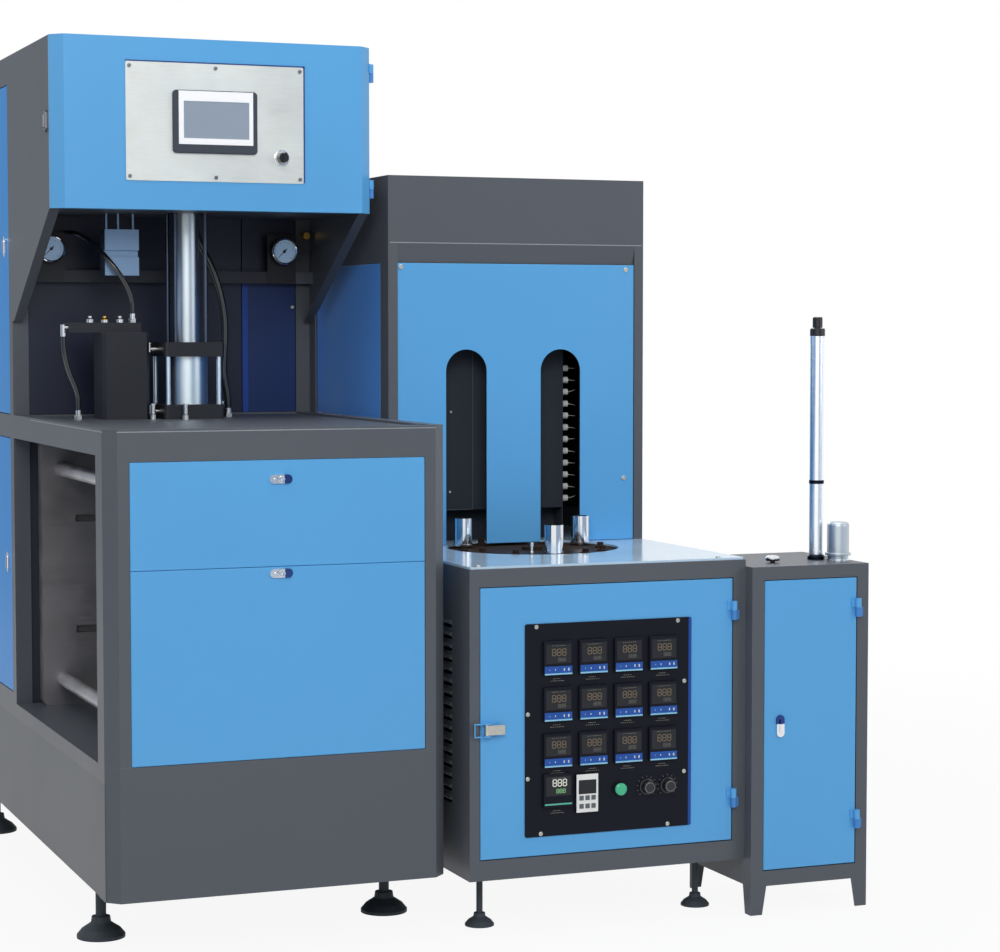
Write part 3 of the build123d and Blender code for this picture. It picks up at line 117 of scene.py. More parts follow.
def node_group(name, inputs, outputs, kind="ShaderNodeTree"):
    """Empty node group with its sockets, then what comes in and the node that goes out."""
    group = bpy.data.node_groups.new(name, kind)
    for label, socket_kind, *value in inputs:
        socket = group.interface.new_socket(label, in_out="INPUT", socket_type="NodeSocket" + socket_kind)
        if value:
            socket.default_value = value[0]
    for label, socket_kind in outputs:
        group.interface.new_socket(label, in_out="OUTPUT", socket_type="NodeSocket" + socket_kind)
    return group, group.nodes.new("NodeGroupInput").outputs, group.nodes.new("NodeGroupOutput")


def tell(group):
    """Say how many nodes a group has."""
    print(group.name, "has", len(group.nodes), "nodes")


def feed(tree, socket, source):
    """Link a socket to an output, or to a node's first output, or set it to a plain value."""
    if isinstance(source, bpy.types.Node):
        source = source.outputs[0]
    if isinstance(source, bpy.types.NodeSocket):
        tree.links.new(source, socket)
    else:
        socket.default_value = source


def give(tree, target, **sources):
    """Feed a node's inputs by their names, with _ for a space."""
    for label, source in sources.items():
        feed(tree, target.inputs[label.replace("_", " ")], source)


def node(tree, kind, links=(), **settings):
    """New node in a tree: its settings, then what feeds its inputs."""
    made = tree.nodes.new(kind)
    for label, value in settings.items():
        setattr(made, label, value)
    for label, source in dict(links).items():
        feed(tree, made.inputs[label], source)
    return made


def maths(tree, operation, first, second, **settings):
    """What a Math node makes of two sources."""
    return node(tree, "ShaderNodeMath", {0: first, 1: second}, operation=operation, **settings)


def vector_maths(tree, operation, first, second):
    """What a Vector Math node makes of two sources: a vector, or a number for a dot product."""
    other = "Scale" if operation == "SCALE" else 1
    made = node(tree, "ShaderNodeVectorMath", {0: first, other: second}, operation=operation)
    return made.outputs["Value" if operation == "DOT_PRODUCT" else "Vector"]


def noise(tree, place, scale, detail, roughness=0.5):
    """Noise read at a place."""
    return node(tree, "ShaderNodeTexNoise", {"Vector": place, "Scale": scale, "Detail": detail,
                                             "Roughness": roughness}).outputs["Fac"]


def ramp(tree, value, low, high, **ends):
    """Goes from 0 to 1 as the value goes from low to high."""
    made = node(tree, "ShaderNodeMapRange", {"Value": value, "From Min": low, "From Max": high})
    give(tree, made, **ends)
    return made


def own_place(tree):
    """Object coordinates, which are metres of the frame."""
    return node(tree, "ShaderNodeTexCoord").outputs["Object"]


print("helpers ready")

# %% [markdown]
# Sprayed paint is never one flat colour. It drifts a little in shade over a panel, and its skin has
# a fine orange peel that breaks up reflections. Both come from noise in Object coordinates, which
# are metres here, so a scale of 400 gives bumps about 2.5 mm apart.

# %% Group: sprayed skin
skin, skin_in, skin_out = node_group(
    "sprayed_skin",
    [("Colour", "Color", (0.5, 0.5, 0.5, 1)), ("Drift", "Float", 0.06), ("Peel Scale", "Float", 420.0),
     ("Peel Height", "Float", 0.12), ("Roughness", "Float", 0.35)],
    [("Colour", "Color"), ("Roughness", "Float"), ("Normal", "Vector")])
place = own_place(skin)
broad = noise(skin, place, scale=2.6, detail=4.0)
shade = maths(skin, "MULTIPLY", maths(skin, "SUBTRACT", broad, 0.5), skin_in["Drift"])
tinted = vector_maths(skin, "SCALE", skin_in["Colour"], maths(skin, "ADD", shade, 1.0))
peel = noise(skin, place, scale=skin_in["Peel Scale"], detail=2.0)
bump = node(skin, "ShaderNodeBump", {"Strength": skin_in["Peel Height"], "Distance": 0.001, "Height": peel})
rough = maths(skin, "ADD", skin_in["Roughness"], maths(skin, "MULTIPLY", shade, 1.5))
give(skin, skin_out, Colour=tinted, Roughness=rough, Normal=bump)
tell(skin)

# %% [markdown]
# Corners of a used machine lose paint first. The Bevel node rounds the shading normal near an edge,
# so where it differs from the true normal we are close to an edge. Noise breaks that line up into
# rubbed spots.

# %% Group: edge wear
wear, wear_in, wear_out = node_group(
    "edge_wear", [("Width", "Float", 0.0015), ("Spot Scale", "Float", 60.0), ("Amount", "Float", 0.5)],
    [("Mask", "Float")])
rounded = node(wear, "ShaderNodeBevel", {"Radius": wear_in["Width"]}, samples=4)
true_normal = node(wear, "ShaderNodeNewGeometry").outputs["Normal"]
agree = vector_maths(wear, "DOT_PRODUCT", rounded, true_normal)
edge = ramp(wear, agree, low=0.995, high=0.85)
spots = noise(wear, own_place(wear), scale=wear_in["Spot Scale"], detail=5.0)
mask = maths(wear, "MULTIPLY", edge, ramp(wear, spots, low=0.42, high=0.62))
give(wear, wear_out, Mask=maths(wear, "MULTIPLY", mask, wear_in["Amount"]))
tell(wear)

# %% [markdown]
# Brushed, turned or ground metal carries fine lines in one direction. Stretching a noise along that
# direction draws them. A second, broad noise adds the cloudy blotches of handled steel, and a third
# one spreads a faint tint.

# %% Group: brushed lines
brush, brush_in, brush_out = node_group(
    "brushed_lines",
    [("Colour", "Color", (0.6, 0.6, 0.6, 1)), ("Stretch", "Vector", (1.0, 1.0, 60.0)),
     ("Line Height", "Float", 0.1), ("Blotch", "Float", 0.1), ("Roughness", "Float", 0.3),
     ("Tint", "Color", (1, 1, 1, 1))],
    [("Colour", "Color"), ("Roughness", "Float"), ("Normal", "Vector")])
place = own_place(brush)
drawn = vector_maths(brush, "MULTIPLY", place, brush_in["Stretch"])
lines = noise(brush, drawn, scale=24.0, detail=3.0)
cloud = noise(brush, place, scale=9.0, detail=6.0, roughness=0.62)
offset = maths(brush, "SUBTRACT", maths(brush, "ADD", lines, cloud), 1.0)
offset = maths(brush, "MULTIPLY", offset, brush_in["Blotch"])
tinted = vector_maths(brush, "SCALE", brush_in["Colour"], maths(brush, "ADD", offset, 1.0))
stained = vector_maths(brush, "MULTIPLY", tinted, brush_in["Tint"])
stain = noise(brush, place, scale=5.0, detail=5.0, roughness=0.7)
coloured = node(brush, "ShaderNodeMix", {0: ramp(brush, stain, low=0.4, high=0.62), 4: tinted, 5: stained},
                data_type="VECTOR")
rough = maths(brush, "ADD", brush_in["Roughness"], offset, use_clamp=True)
bump = node(brush, "ShaderNodeBump", {"Strength": brush_in["Line Height"], "Distance": 0.0005,
                                      "Height": lines})
give(brush, brush_out, Colour=coloured.outputs[1], Roughness=rough, Normal=bump)
tell(brush)

# %% [markdown]
# Some nodes join pieces of two finishes, such as brass fittings on nickel, and some need painted
# shade on one part, such as the tie rods darkened round a bright cylinder. The drawing tells us where
# one ends, so a mask that is 1 inside a box of Object coordinates picks the colour.

# %% Group: inside a box
zone, zone_in, zone_out = node_group(
    "inside_a_box", [("Low", "Vector", (-9, -9, -9)), ("High", "Vector", (9, 9, 9))], [("Mask", "Float")])
place = own_place(zone)
above = vector_maths(zone, "SUBTRACT", place, zone_in["Low"])
below = vector_maths(zone, "SUBTRACT", zone_in["High"], place)
axes = node(zone, "ShaderNodeSeparateXYZ", {0: vector_maths(zone, "MINIMUM", above, below)}).outputs
least = maths(zone, "MINIMUM", maths(zone, "MINIMUM", axes[0], axes[1]), axes[2])
give(zone, zone_out, Mask=maths(zone, "GREATER_THAN", least, 0.0))
tell(zone)

# %% [markdown]
# ## Materials
# Each recipe below is one function for one family of finishes: sprayed paint, bare metal, and
# moulded plastic or rubber. The Principled BSDF stays in the material, and the groups only feed it.

# %% Recipes: paint, metal, plastic
def group_node(tree, group, **values):
    """Node that holds a shader group, with its inputs fed by name."""
    made = tree.nodes.new("ShaderNodeGroup")
    made.node_tree = group
    give(tree, made, **values)
    return made


def mixed(tree, mask, low, high):
    """Colour that goes from low to high as the mask goes from 0 to 1."""
    return node(tree, "ShaderNodeMix", {"Factor": mask, 6: low, 7: high}, data_type="RGBA").outputs[2]


def zoned(tree, colour, zones):
    """Colour that changes inside boxes of the frame, given by their corners in drawing millimetres."""
    for low, high, other in zones:
        mask = group_node(tree, zone, Low=at(*low), High=at(*high)).outputs["Mask"]
        colour = mixed(tree, mask, colour, other)
    return colour


def paint(name, colour, rough=0.36, drift=0.07, peel=0.1, worn=None, amount=0.35, gloss=0.32, zones=()):
    """Sprayed paint with worn edges; zones repaints boxes of the frame."""
    material, shader = blank_material(name, Base_Color=colour, Specular_IOR_Level=gloss)
    tree = material.node_tree
    film = group_node(tree, skin, Colour=zoned(tree, colour, zones), Drift=drift, Peel_Height=peel,
                      Roughness=rough).outputs
    rubbed = group_node(tree, wear, Amount=amount)
    # Worn spots are a lighter shade of the paint where no colour is given for them.
    bare = worn or tuple(min(1.0, c * 1.6 + 0.05) for c in colour[:3]) + (1.0,)
    give(tree, shader, Base_Color=mixed(tree, rubbed.outputs["Mask"], film["Colour"], bare),
         Roughness=film["Roughness"], Normal=film["Normal"])
    return material


def metal(name, colour, rough, stretch=(40.0, 40.0, 1.0), lines=0.08, blotch=0.12, tint=(1, 1, 1, 1),
          zones=()):
    """Bare metal with lines across the stretched axes and cloudy handling marks."""
    material, shader = blank_material(name, Base_Color=colour, Metallic=1.0)
    tree = material.node_tree
    drawn = group_node(tree, brush, Colour=zoned(tree, colour, zones), Stretch=stretch,
                       Line_Height=lines, Blotch=blotch, Roughness=rough, Tint=tint).outputs
    give(tree, shader, Base_Color=drawn["Colour"], Roughness=drawn["Roughness"], Normal=drawn["Normal"])
    return material


def moulded(name, colour, rough=0.45, grain=900.0, height=0.15, drift=0.1, coat=0.0, glow=0.0,
            gloss=0.3, zones=()):
    """Moulded plastic or rubber with a fine grain, which can glow by itself."""
    material, shader = blank_material(name, Base_Color=colour, Coat_Weight=coat, Coat_Roughness=0.08,
                                      Specular_IOR_Level=gloss)
    tree = material.node_tree
    film = group_node(tree, skin, Colour=zoned(tree, colour, zones), Drift=drift, Peel_Scale=grain,
                      Peel_Height=height, Roughness=rough).outputs
    give(tree, shader, Base_Color=film["Colour"], Roughness=film["Roughness"], Normal=film["Normal"])
    if glow:
        give(tree, shader, Emission_Strength=glow, Emission_Color=film["Colour"])
    return material


print("recipes ready")

# %% [markdown]
# Two paints carry the whole machine: a light sky blue on panels and doors, and a dark slate grey on
# frames. The left doors and the hinges are a deeper blue, and the beam behind the gauges is darker.
# The wall behind the cylinders belongs to the same node as the blue panels, so boxes paint the
# working space's shade on it: navy, a bluer shade on its right half, and a brighter strip as a painted
# highlight where that half starts. More boxes paint light and shade on the oven: a brighter, more
# saturated blue on its shaded side, and painted shade that darkens its inside. One more box is
# painted shade on the left side of the base skirt.

# %% Paints
SKY, SLATE, NAVY_SHADE = srgb(95, 174, 233), srgb(88, 93, 101), srgb(36, 42, 62)
# Slate's worn edges are light grey: partly rubbed paint, partly a painted edge highlight.
SLATE_WEAR_AND_HIGHLIGHT = srgb(140, 146, 152)
# These boxes paint light and shade: navy shade on the back wall, a bluer shade on its right half with a
# painted highlight strip, a brighter blue on the oven's shaded side and dark shade inside the oven.
light_and_shade_zones = [((30, 1015, 1150), (750, 1050, 2000), NAVY_SHADE),
              ((595, 1015, 1150), (750, 1050, 1498), srgb(32, 54, 104)),
              ((595, 1015, 1150), (611, 1050, 1498), srgb(36, 74, 160)),
              ((820, 560, 846), (826, 1100, 1600), srgb(92, 164, 255)),
              ((826.2, 533.2, 846), (1508.9, 1100, 1756), srgb(28, 32, 42))]
sky_paint = paint("sky_blue_paint", SKY, rough=0.34, amount=0.25, zones=light_and_shade_zones)
# Its box is painted shade that darkens the left side of the base skirt.
slate_paint = paint("slate_grey_paint", SLATE, rough=0.42, peel=0.16, worn=SLATE_WEAR_AND_HIGHLIGHT,
                    zones=[((-3, 26, 60), (8, 1980, 398), srgb(74, 80, 87))])
tower_paint = paint("tower_grey_paint", SLATE, rough=0.42, peel=0.16, worn=SLATE_WEAR_AND_HIGHLIGHT,
                    zones=[((90, 984, 1488), (700, 1024, 1532), srgb(46, 50, 60))])
deep_paint = paint("deep_sky_paint", srgb(54, 163, 252), rough=0.4, amount=0.25, gloss=0.12)
hinge_paint = paint("hinge_blue_paint", srgb(74, 140, 212), rough=0.34, worn=srgb(150, 196, 240))
table_paint = paint("pale_table_gloss", srgb(196, 224, 246), rough=0.15, drift=0.1, peel=0.03, amount=0.5,
                    gloss=0.5, worn=srgb(225, 232, 238))
print("paints ready")

# %% [markdown]
# Bare metals differ mostly in roughness and in the way their lines run. The operator plate is matt
# and blotchy, chrome is a near mirror, platens are ground flat, and the tubes are drawn along Z.
# Boxes paint shade on the tie rods and a dark-blue painted reflection on part of each latch, and pick out
# black bands and brass fittings.

# %% Metals
plate_steel = metal("blotched_steel", srgb(193, 198, 196), 0.48, stretch=(1.0, 40.0, 30.0), blotch=0.26,
                    tint=(1.0, 0.97, 0.95, 1))
chrome = metal("polished_chrome", srgb(228, 231, 235), 0.09, lines=0.0, blotch=0.05)
ground_steel = metal("ground_steel", srgb(140, 139, 142), 0.55, stretch=(1.0, 40.0, 40.0), blotch=0.4)
turned_steel = metal("turned_steel", srgb(112, 112, 116), 0.3, stretch=(30.0, 30.0, 30.0), blotch=0.3)
worn_bar = metal("worn_bar_steel", srgb(190, 188, 191), 0.4, stretch=(40.0, 1.0, 40.0), blotch=0.5)
# This colour is painted shade that darkens the tie rods round the stretch cylinder.
SHADED_ROD = srgb(74, 82, 96)
tube_alloy = metal("drawn_aluminium", srgb(186, 196, 203), 0.36, stretch=(50.0, 50.0, 1.0), blotch=0.12,
                   zones=[((300, 700, 1345), (357, 900, 1965), SHADED_ROD),
                          ((423, 700, 1345), (480, 900, 1965), SHADED_ROD),
                          ((300, 700, 1190), (480, 900, 1318), srgb(203, 217, 225))])
# Its boxes are a painted reflection: dark blue on the right half of the panel latches and on part of the
# side latch.
latch_chrome_painted_reflection = metal("latch_chrome_painted_reflection", srgb(228, 231, 235), 0.16, lines=0.0, blotch=0.1,
                     zones=[((398, -20, 800), (425, 0, 1100), srgb(64, 88, 146)),
                            ((1560, -90, 452), (1620, -60, 480), srgb(50, 72, 132))])
BLACKED = srgb(30, 34, 46)
column_alloy = metal("column_aluminium", srgb(246, 250, 254), 0.24, stretch=(50.0, 50.0, 1.0), blotch=0.08,
                     zones=[((1720, 30, 823), (1780, 90, 837), BLACKED),
                            ((1720, 30, 1007.5), (1780, 90, 1016.5), BLACKED)])
shaded_alloy = metal("shaded_aluminium", srgb(120, 144, 172), 0.42, stretch=(40.0, 40.0, 1.0), blotch=0.16)
screw_steel = metal("dark_screw_steel", srgb(124, 124, 130), 0.36, stretch=(6.0, 6.0, 6.0), blotch=0.3)
zinc = metal("zinc_plate", srgb(190, 188, 180), 0.34, stretch=(6.0, 6.0, 6.0), blotch=0.3)
BRASS = srgb(214, 172, 84)
fitting_metal = metal("nickel_and_brass", srgb(205, 206, 204), 0.24, stretch=(20.0, 20.0, 20.0), blotch=0.2,
                      zones=[((735, 960, 1600), (790, 1030, 1650), BRASS),
                             ((175, 780, 1402), (195, 820, 1430), BRASS)])
print("metals ready")

# %% [markdown]
# Plastics, rubber and ceramic get the third recipe. The black sheet of the control panel is smooth
# and faintly blue, the feet are dull, the hoses have a shiny skin, and the green button gets a weak
# painted glow.

# %% Plastics, rubber and displays
panel_black = moulded("panel_black", srgb(22, 24, 34), rough=0.4, grain=500.0, height=0.05, gloss=0.12)
bezel_grey = moulded("bezel_grey", srgb(58, 66, 77), rough=0.5)
knob_black = moulded("knob_black", srgb(30, 31, 34), rough=0.3, coat=0.3)
cast_black = paint("cast_black_enamel", srgb(33, 36, 43), rough=0.4, peel=0.2, worn=srgb(95, 100, 110))
rubber_black = moulded("foot_rubber", srgb(67, 75, 82), rough=0.62, grain=260.0, height=0.3)
hose_black = moulded("hose_rubber", srgb(24, 27, 33), rough=0.2, grain=700.0, height=0.04, coat=0.8)
SHADE = srgb(56, 61, 70)
rack_dark = moulded("lamp_rack_dark", SHADE, rough=0.8, gloss=0.1)
ceramic = moulded("ceramic_and_quartz", srgb(233, 234, 232), rough=0.4, height=0.05, gloss=0.2,
                  zones=[((985, 630, 900), (1325, 650, 1320), SHADE)])
# The turntable is dark brown with strong lighter and darker blotches.
blotched_turntable = moulded("dark_blotched_turntable", srgb(52, 42, 37), rough=0.62, grain=60.0, height=0.3, drift=1.6,
                      gloss=0.08)
# The start button's weak glow is painted light.
start_green = moulded("start_green", srgb(58, 174, 130), rough=0.25, coat=0.5, glow=0.15)
cream = moulded("keypad_cream", srgb(240, 241, 238), rough=0.5, height=0.05)
key_grey = moulded("key_grey", srgb(98, 103, 110), rough=0.5, height=0.05)
print("plastics ready")

# %% [markdown]
# ## Hoses
# Three air hoses hang in the open space under the head. A hose bends in one smooth line, so each is
# a NURBS curve whose control points are the route's points on the drawing. The order is raised
# after the points exist, or Blender would keep straight runs between them.

# %% Hoses
def air_hose(name, cad_node, radius, length, route):
    """Hose along a route that takes the place of its CAD node; sizes in millimetres."""
    curve = bpy.data.curves.new(name, "CURVE")
    curve.dimensions = "3D"
    spline = curve.splines.new("NURBS")
    spline.points.add(len(route) - 1)
    for point, (x, y, z) in zip(spline.points, route):
        point.co = (*at(x, y, z), 1.0)
    spline.order_u = 3
    spline.use_endpoint_u = True
    spline.resolution_u = 10
    curve.bevel_depth = radius / 1000
    curve.bevel_resolution = 5
    curve.use_fill_caps = True
    curve.materials.append(hose_black)
    hose = placed_object(name, curve)
    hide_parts(cad_node)
    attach(hose, "machine")
    print(name, len(route), "points,", length, "mm")


air_hose("stretch_air_hose", "hose_stretch", 9.0, 496,
         [(431, 868, 1664), (431, 868, 1636), (437, 867, 1606), (450, 865, 1577), (467, 862, 1546),
          (481, 859, 1508), (494, 856, 1462), (502, 853, 1410), (502, 851, 1356), (498, 850, 1304),
          (498, 850, 1264), (502, 850, 1238), (508, 850, 1210), (508, 850, 1182)])
air_hose("valve_air_hose", "hose_valve", 6.0, 405,
         [(130, 1024, 1622), (130, 988, 1622), (132, 952, 1621), (137, 916, 1618), (146, 882, 1611),
          (158, 852, 1599), (172, 828, 1582), (188, 811, 1561), (205, 801, 1538), (221, 797, 1516),
          (236, 797, 1492), (248, 798, 1466), (254, 800, 1442), (254, 800, 1418)])
air_hose("drain_air_hose", "hose_drain", 6.0, 185,
         [(82, 800, 1362), (82, 800, 1336), (86, 800, 1310), (92, 800, 1284), (101, 800, 1259),
          (112, 800, 1235), (118, 800, 1209), (118, 800, 1182)])

# %% [markdown]
# ## Finishes on the frame's own pieces
# The shapes of these nodes are right already, so each only swaps its material.

# %% Give every node its finish
finishes = {
    sky_paint: ["side_panels", "head_cover", "front_panels", "heater_door", "oven_panels", "side_door"],
    slate_paint: ["base_skirt", "bench_frame", "head_shell", "oven_shell", "heater_cabinet", "side_cabinet"],
    tower_paint: ["tower_frame"],
    deep_paint: ["left_door_lower", "left_door_upper"],
    hinge_paint: ["door_hinges"],
    table_paint: ["tabletop"],
    plate_steel: ["operator_plate"],
    rack_dark: ["lamp_rack"],
    worn_bar: ["tie_bars"],
    chrome: ["left_latch_lower", "left_latch_upper", "seal_nozzle", "stretch_rod", "preform_cup_1",
             "preform_cup_2", "preform_cup_3"],
    latch_chrome_painted_reflection: ["panel_latch_lower", "panel_latch_upper", "side_latch"],
    screw_steel: ["head_lock"],
    ground_steel: ["fixed_platen", "clamp_platen", "crosshead"],
    turned_steel: ["turntable_drive"],
    blotched_turntable: ["turntable"],
    tube_alloy: ["clamp_cylinder", "cylinder_tubes"],
    shaded_alloy: ["guide_unit"],
    column_alloy: ["column_and_cup"],
    cast_black: ["cylinder_caps", "valve_block", "pressure_gauges"],
    fitting_metal: ["air_fittings"],
    zinc: ["toggle_lever"],
    panel_black: ["control_panel"],
    bezel_grey: ["screen_housing"],
    knob_black: ["selector_knob", "dial_left", "dial_right", "gauge_pointer_left", "gauge_pointer_right",
                 "column_rod", "push_button"],
    rubber_black: ["levelling_feet"],
    ceramic: ["heater_lamps"],
    start_green: ["start_button"],
}
replaced = {"hose_stretch", "hose_valve", "hose_drain"}
for material, names in finishes.items():
    for name in names:
        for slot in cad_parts[name].material_slots:
            slot.material = material
covered = {name for names in finishes.values() for name in names} | replaced
print("finished", len(covered), "nodes, left", sorted(set(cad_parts) - covered))

# %% [markdown]
# ## Geometry Nodes for what repeats
# A panel holds dozens of screws, digits and ticks. We list only where each one sits and which way it
# faces, and a Geometry Nodes tree sets the same small shape on every point. The result is made a
# plain mesh, one for each body, so that it moves with its door or cover.

# %% Tree helpers
def geometry_tree(name, sizes):
    """Geometry Nodes tree with a mesh in, named sizes, a material, and a mesh out."""
    inputs = [("Mesh", "Geometry"), *((label, "Float", value) for label, value in sizes.items()),
              ("Material", "Material")]
    return node_group(name, inputs, [("Mesh", "Geometry")], "GeometryNodeTree")


def close_tree(tree, source, entry, exit_node):
    """Every tree ends by making its instances real and setting the material."""
    real = node(tree, "GeometryNodeRealizeInstances", {0: source})
    dressed = node(tree, "GeometryNodeSetMaterial", {"Geometry": real, "Material": entry["Material"]})
    feed(tree, exit_node.inputs[0], dressed)


def set_on_points(tree, shape, entry, exit_node):
    """Set a shape on every point, by the turn and the size stored there, and close the tree."""
    turn, size = (node(tree, "GeometryNodeInputNamedAttribute", {"Name": label}, data_type="FLOAT_VECTOR")
                  for label in ("turn", "size"))
    rotation = node(tree, "FunctionNodeEulerToRotation", {0: turn})
    placed = node(tree, "GeometryNodeInstanceOnPoints", {
        "Points": entry["Mesh"], "Instance": shape, "Rotation": rotation, "Scale": size})
    close_tree(tree, placed, entry, exit_node)


def finished_piece(name, mesh, body):
    """Object for a mesh, riding on its body."""
    made = placed_object(name, mesh)
    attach(made, body)
    print(name, len(mesh.polygons), "faces on", body)


def spread(name, tree, points, body, material, slot, edges=(), **sizes):
    """Run a tree over points and keep the result as one plain mesh on a body. A point is a place in
    drawing millimetres, then a turn in radians, then a scale."""
    seed = bpy.data.meshes.new(name + "_seed")
    seed.from_pydata([at(*p[0]) for p in points], list(edges), [])
    for label, index, default in (("turn", 1, (0, 0, 0)), ("size", 2, (1, 1, 1))):
        store = seed.attributes.new(label, "FLOAT_VECTOR", "POINT")
        for row, p in zip(store.data, points):
            row.vector = p[index] if len(p) > index else default
    holder = placed_object(name + "_seed", seed)
    modifier = holder.modifiers.new("tree", "NODES")
    modifier.node_group = tree
    values = {"Material": material, **sizes}
    for item in tree.interface.items_tree:
        if item.in_out == "INPUT" and item.name in values:
            modifier[item.identifier] = values[item.name]
    holder.update_tag()
    bpy.context.view_layer.update()
    mesh = bpy.data.meshes.new_from_object(holder.evaluated_get(bpy.context.evaluated_depsgraph_get()))
    mesh.name = name
    bpy.data.objects.remove(holder)
    finished_piece(name, mesh, body)


FRONT, UP = (pi / 2, 0.0, 0.0), (0.0, 0.0, 0.0)
print("tree helpers ready")

# %% [markdown]
# A panel screw is a low cylinder with a chamfered rim and a socket. In nodes this is one cylinder
# whose top face is pushed up and shrunk for the chamfer, then pushed back down for the socket.

# %% Tree: screw heads
screw_tree, entry, out = geometry_tree("screw_heads", {"Radius": 0.004, "Height": 0.0025, "Socket": 0.5})
rod = node(screw_tree, "GeometryNodeMeshCylinder", {"Vertices": 20, "Radius": entry["Radius"],
                                                    "Depth": entry["Height"]})
facing = node(screw_tree, "GeometryNodeInputNormal")
up = node(screw_tree, "ShaderNodeSeparateXYZ", {0: facing})
top = node(screw_tree, "FunctionNodeCompare", {0: up.outputs["Z"], 1: 0.5}, operation="GREATER_THAN")
mesh_now, chosen = rod, top
for share, push in ((0.82, 0.3), (entry["Socket"], 0.0), (0.9, -0.9)):
    step = maths(screw_tree, "MULTIPLY", entry["Height"], push)
    pushed = node(screw_tree, "GeometryNodeExtrudeMesh", {
        "Mesh": mesh_now, "Selection": chosen, "Offset Scale": step}).outputs
    shrunk = node(screw_tree, "GeometryNodeScaleElements", {
        "Geometry": pushed["Mesh"], "Selection": pushed["Top"], "Scale": share})
    mesh_now, chosen = shrunk, pushed["Top"]
set_on_points(screw_tree, mesh_now, entry, out)
tell(screw_tree)

# %% Screws on the plates and panels
PLATE_Y, PANEL_Y, OVEN_Y, WALL_Y, BOLT_Z = 508.0, -38.0, 532.0, 1024.0, 845.6


def screws(name, spots, body, material, **sizes):
    """Screw heads that face the front, at places in drawing millimetres."""
    spread(name, screw_tree, [(spot, FRONT) for spot in spots], body, material, "zinc", **sizes)


screws("plate_screws", [(x, PLATE_Y - 1, z) for x in (181, 388, 595) for z in (1737, 1993)], "head_cover",
       screw_steel, Radius=0.0045)
panel_screws = [(981, 704), (1337, 704), (1354, 562), (960, 505), (960, 357), (1354, 350), (992, 229),
                (1312, 229)]
screws("panel_screws", [(x, PANEL_Y - 1, z) for x, z in panel_screws], "heater_door", zinc, Radius=0.005)
oven_screws = [(858, 1532), (1462, 1530), (1458, 1002), (861, 970)]
screws("oven_screws", [(x, OVEN_Y - 1, z) for x, z in oven_screws], "machine", zinc, Radius=0.006)
spread("table_bolts", screw_tree, [((x, -10, BOLT_Z), UP) for x in (850, 1455)], "machine", zinc, "zinc",
       Radius=0.006)
screws("wall_screw", [(731, WALL_Y - 1, 1438)], "machine", zinc, Radius=0.005)

# %% [markdown]
# Digits, legends and dial ticks are all short straight marks. One tree lays a thin bar on each point,
# turned and scaled by that point's own values, and small functions work out the points.

# %% Tree: straight marks
mark_tree, entry, out = geometry_tree(
    "straight_marks", {"Length": 0.01, "Thickness": 0.0004, "Width": 0.001})
whole = node(mark_tree, "ShaderNodeCombineXYZ", {0: entry["Length"], 1: entry["Thickness"],
                                                 2: entry["Width"]})
bar = node(mark_tree, "GeometryNodeMeshCube", {"Size": whole})
set_on_points(mark_tree, bar, entry, out)
tell(mark_tree)

# %% [markdown]
# Soft plastic and folded sheet have rounded corners. This helper builds a slab with its edges
# bevelled, and joins any number of slabs into one piece.

# %% Bevelled slabs in mesh code
BOX_FACES = [(3, 2, 1, 0), (4, 5, 6, 7), (0, 1, 5, 4), (1, 2, 6, 5), (2, 3, 7, 6), (3, 0, 4, 7)]


def modelled_piece(name, shape, body, material):
    """Finished piece from mesh code."""
    mesh = bpy.data.meshes.new(name)
    shape.to_mesh(mesh)
    shape.free()
    mesh.materials.append(material)
    finished_piece(name, mesh, body)


def slabs(name, boxes, body, material, bevel, segments=2):
    """One mesh of bevelled boxes; each box is x0, x1, y0, y1, z0, z1 in drawing millimetres."""
    shape = bmesh.new()
    for x0, x1, y0, y1, z0, z1 in boxes:
        corners = [shape.verts.new(at(x, y, z)) for z in (z0, z1)
                   for x, y in ((x0, y0), (x1, y0), (x1, y1), (x0, y1))]
        for face in BOX_FACES:
            shape.faces.new([corners[i] for i in face])
    if bevel:
        bmesh.ops.bevel(shape, geom=shape.edges[:], offset=bevel / 1000, segments=segments, profile=0.5,
                        affect="EDGES", clamp_overlap=True)
    modelled_piece(name, shape, body, material)


def door_slabs(name, boxes, material, bevel):
    """Slabs of plastic on the heater's door."""
    slabs(name, boxes, "heater_door", material, bevel)


def door_marks(name, points, material, width):
    """Straight marks on the heater's door; width in millimetres."""
    spread(name, mark_tree, points, "heater_door", material, "black_plastic", Width=width / 1000)


print("slabs and marks ready")

# %% [markdown]
# ## Control panel
# Thirteen temperature controllers sit in four columns. On each, a dark window shows three dim brown
# digits and a smaller row under them, and a blue stripe with a pale line runs along the bottom. The
# last one reads brighter, with green small digits. Digits are lit segments, which is how the real
# display draws them, and every segment is lit, so that no number is shown.

# %% Places of the controllers
MODULE_Y = -46.0
COLUMN_STEP, ROW_STEP = 88.5, 106.0
controllers = [(1033.0 + COLUMN_STEP * i, 631.0 - ROW_STEP * j) for j in range(3) for i in range(4)]
last_controller = (1033.0, 327.0)
everyone = controllers + [last_controller]
print(len(everyone), "controllers")

# %% Windows, stripes and lines of the controllers
display_glass = moulded("display_glass", srgb(24, 27, 34), rough=0.25, grain=300.0, height=0.02, coat=0.1)
stripe_blue = moulded("stripe_blue", srgb(34, 84, 168), rough=0.4, height=0.05)
line_cyan = moulded("line_cyan", srgb(146, 206, 236), rough=0.4, height=0.05)
line_teal = moulded("line_teal", srgb(98, 190, 172), rough=0.4, height=0.05)


def module_boxes(places, half_width, proud, low, high):
    """A box in front of each controller: how wide, how proud, and its levels from the middle."""
    return [(x - half_width, x + half_width, MODULE_Y - proud, MODULE_Y + 1, z + low, z + high)
            for x, z in places]


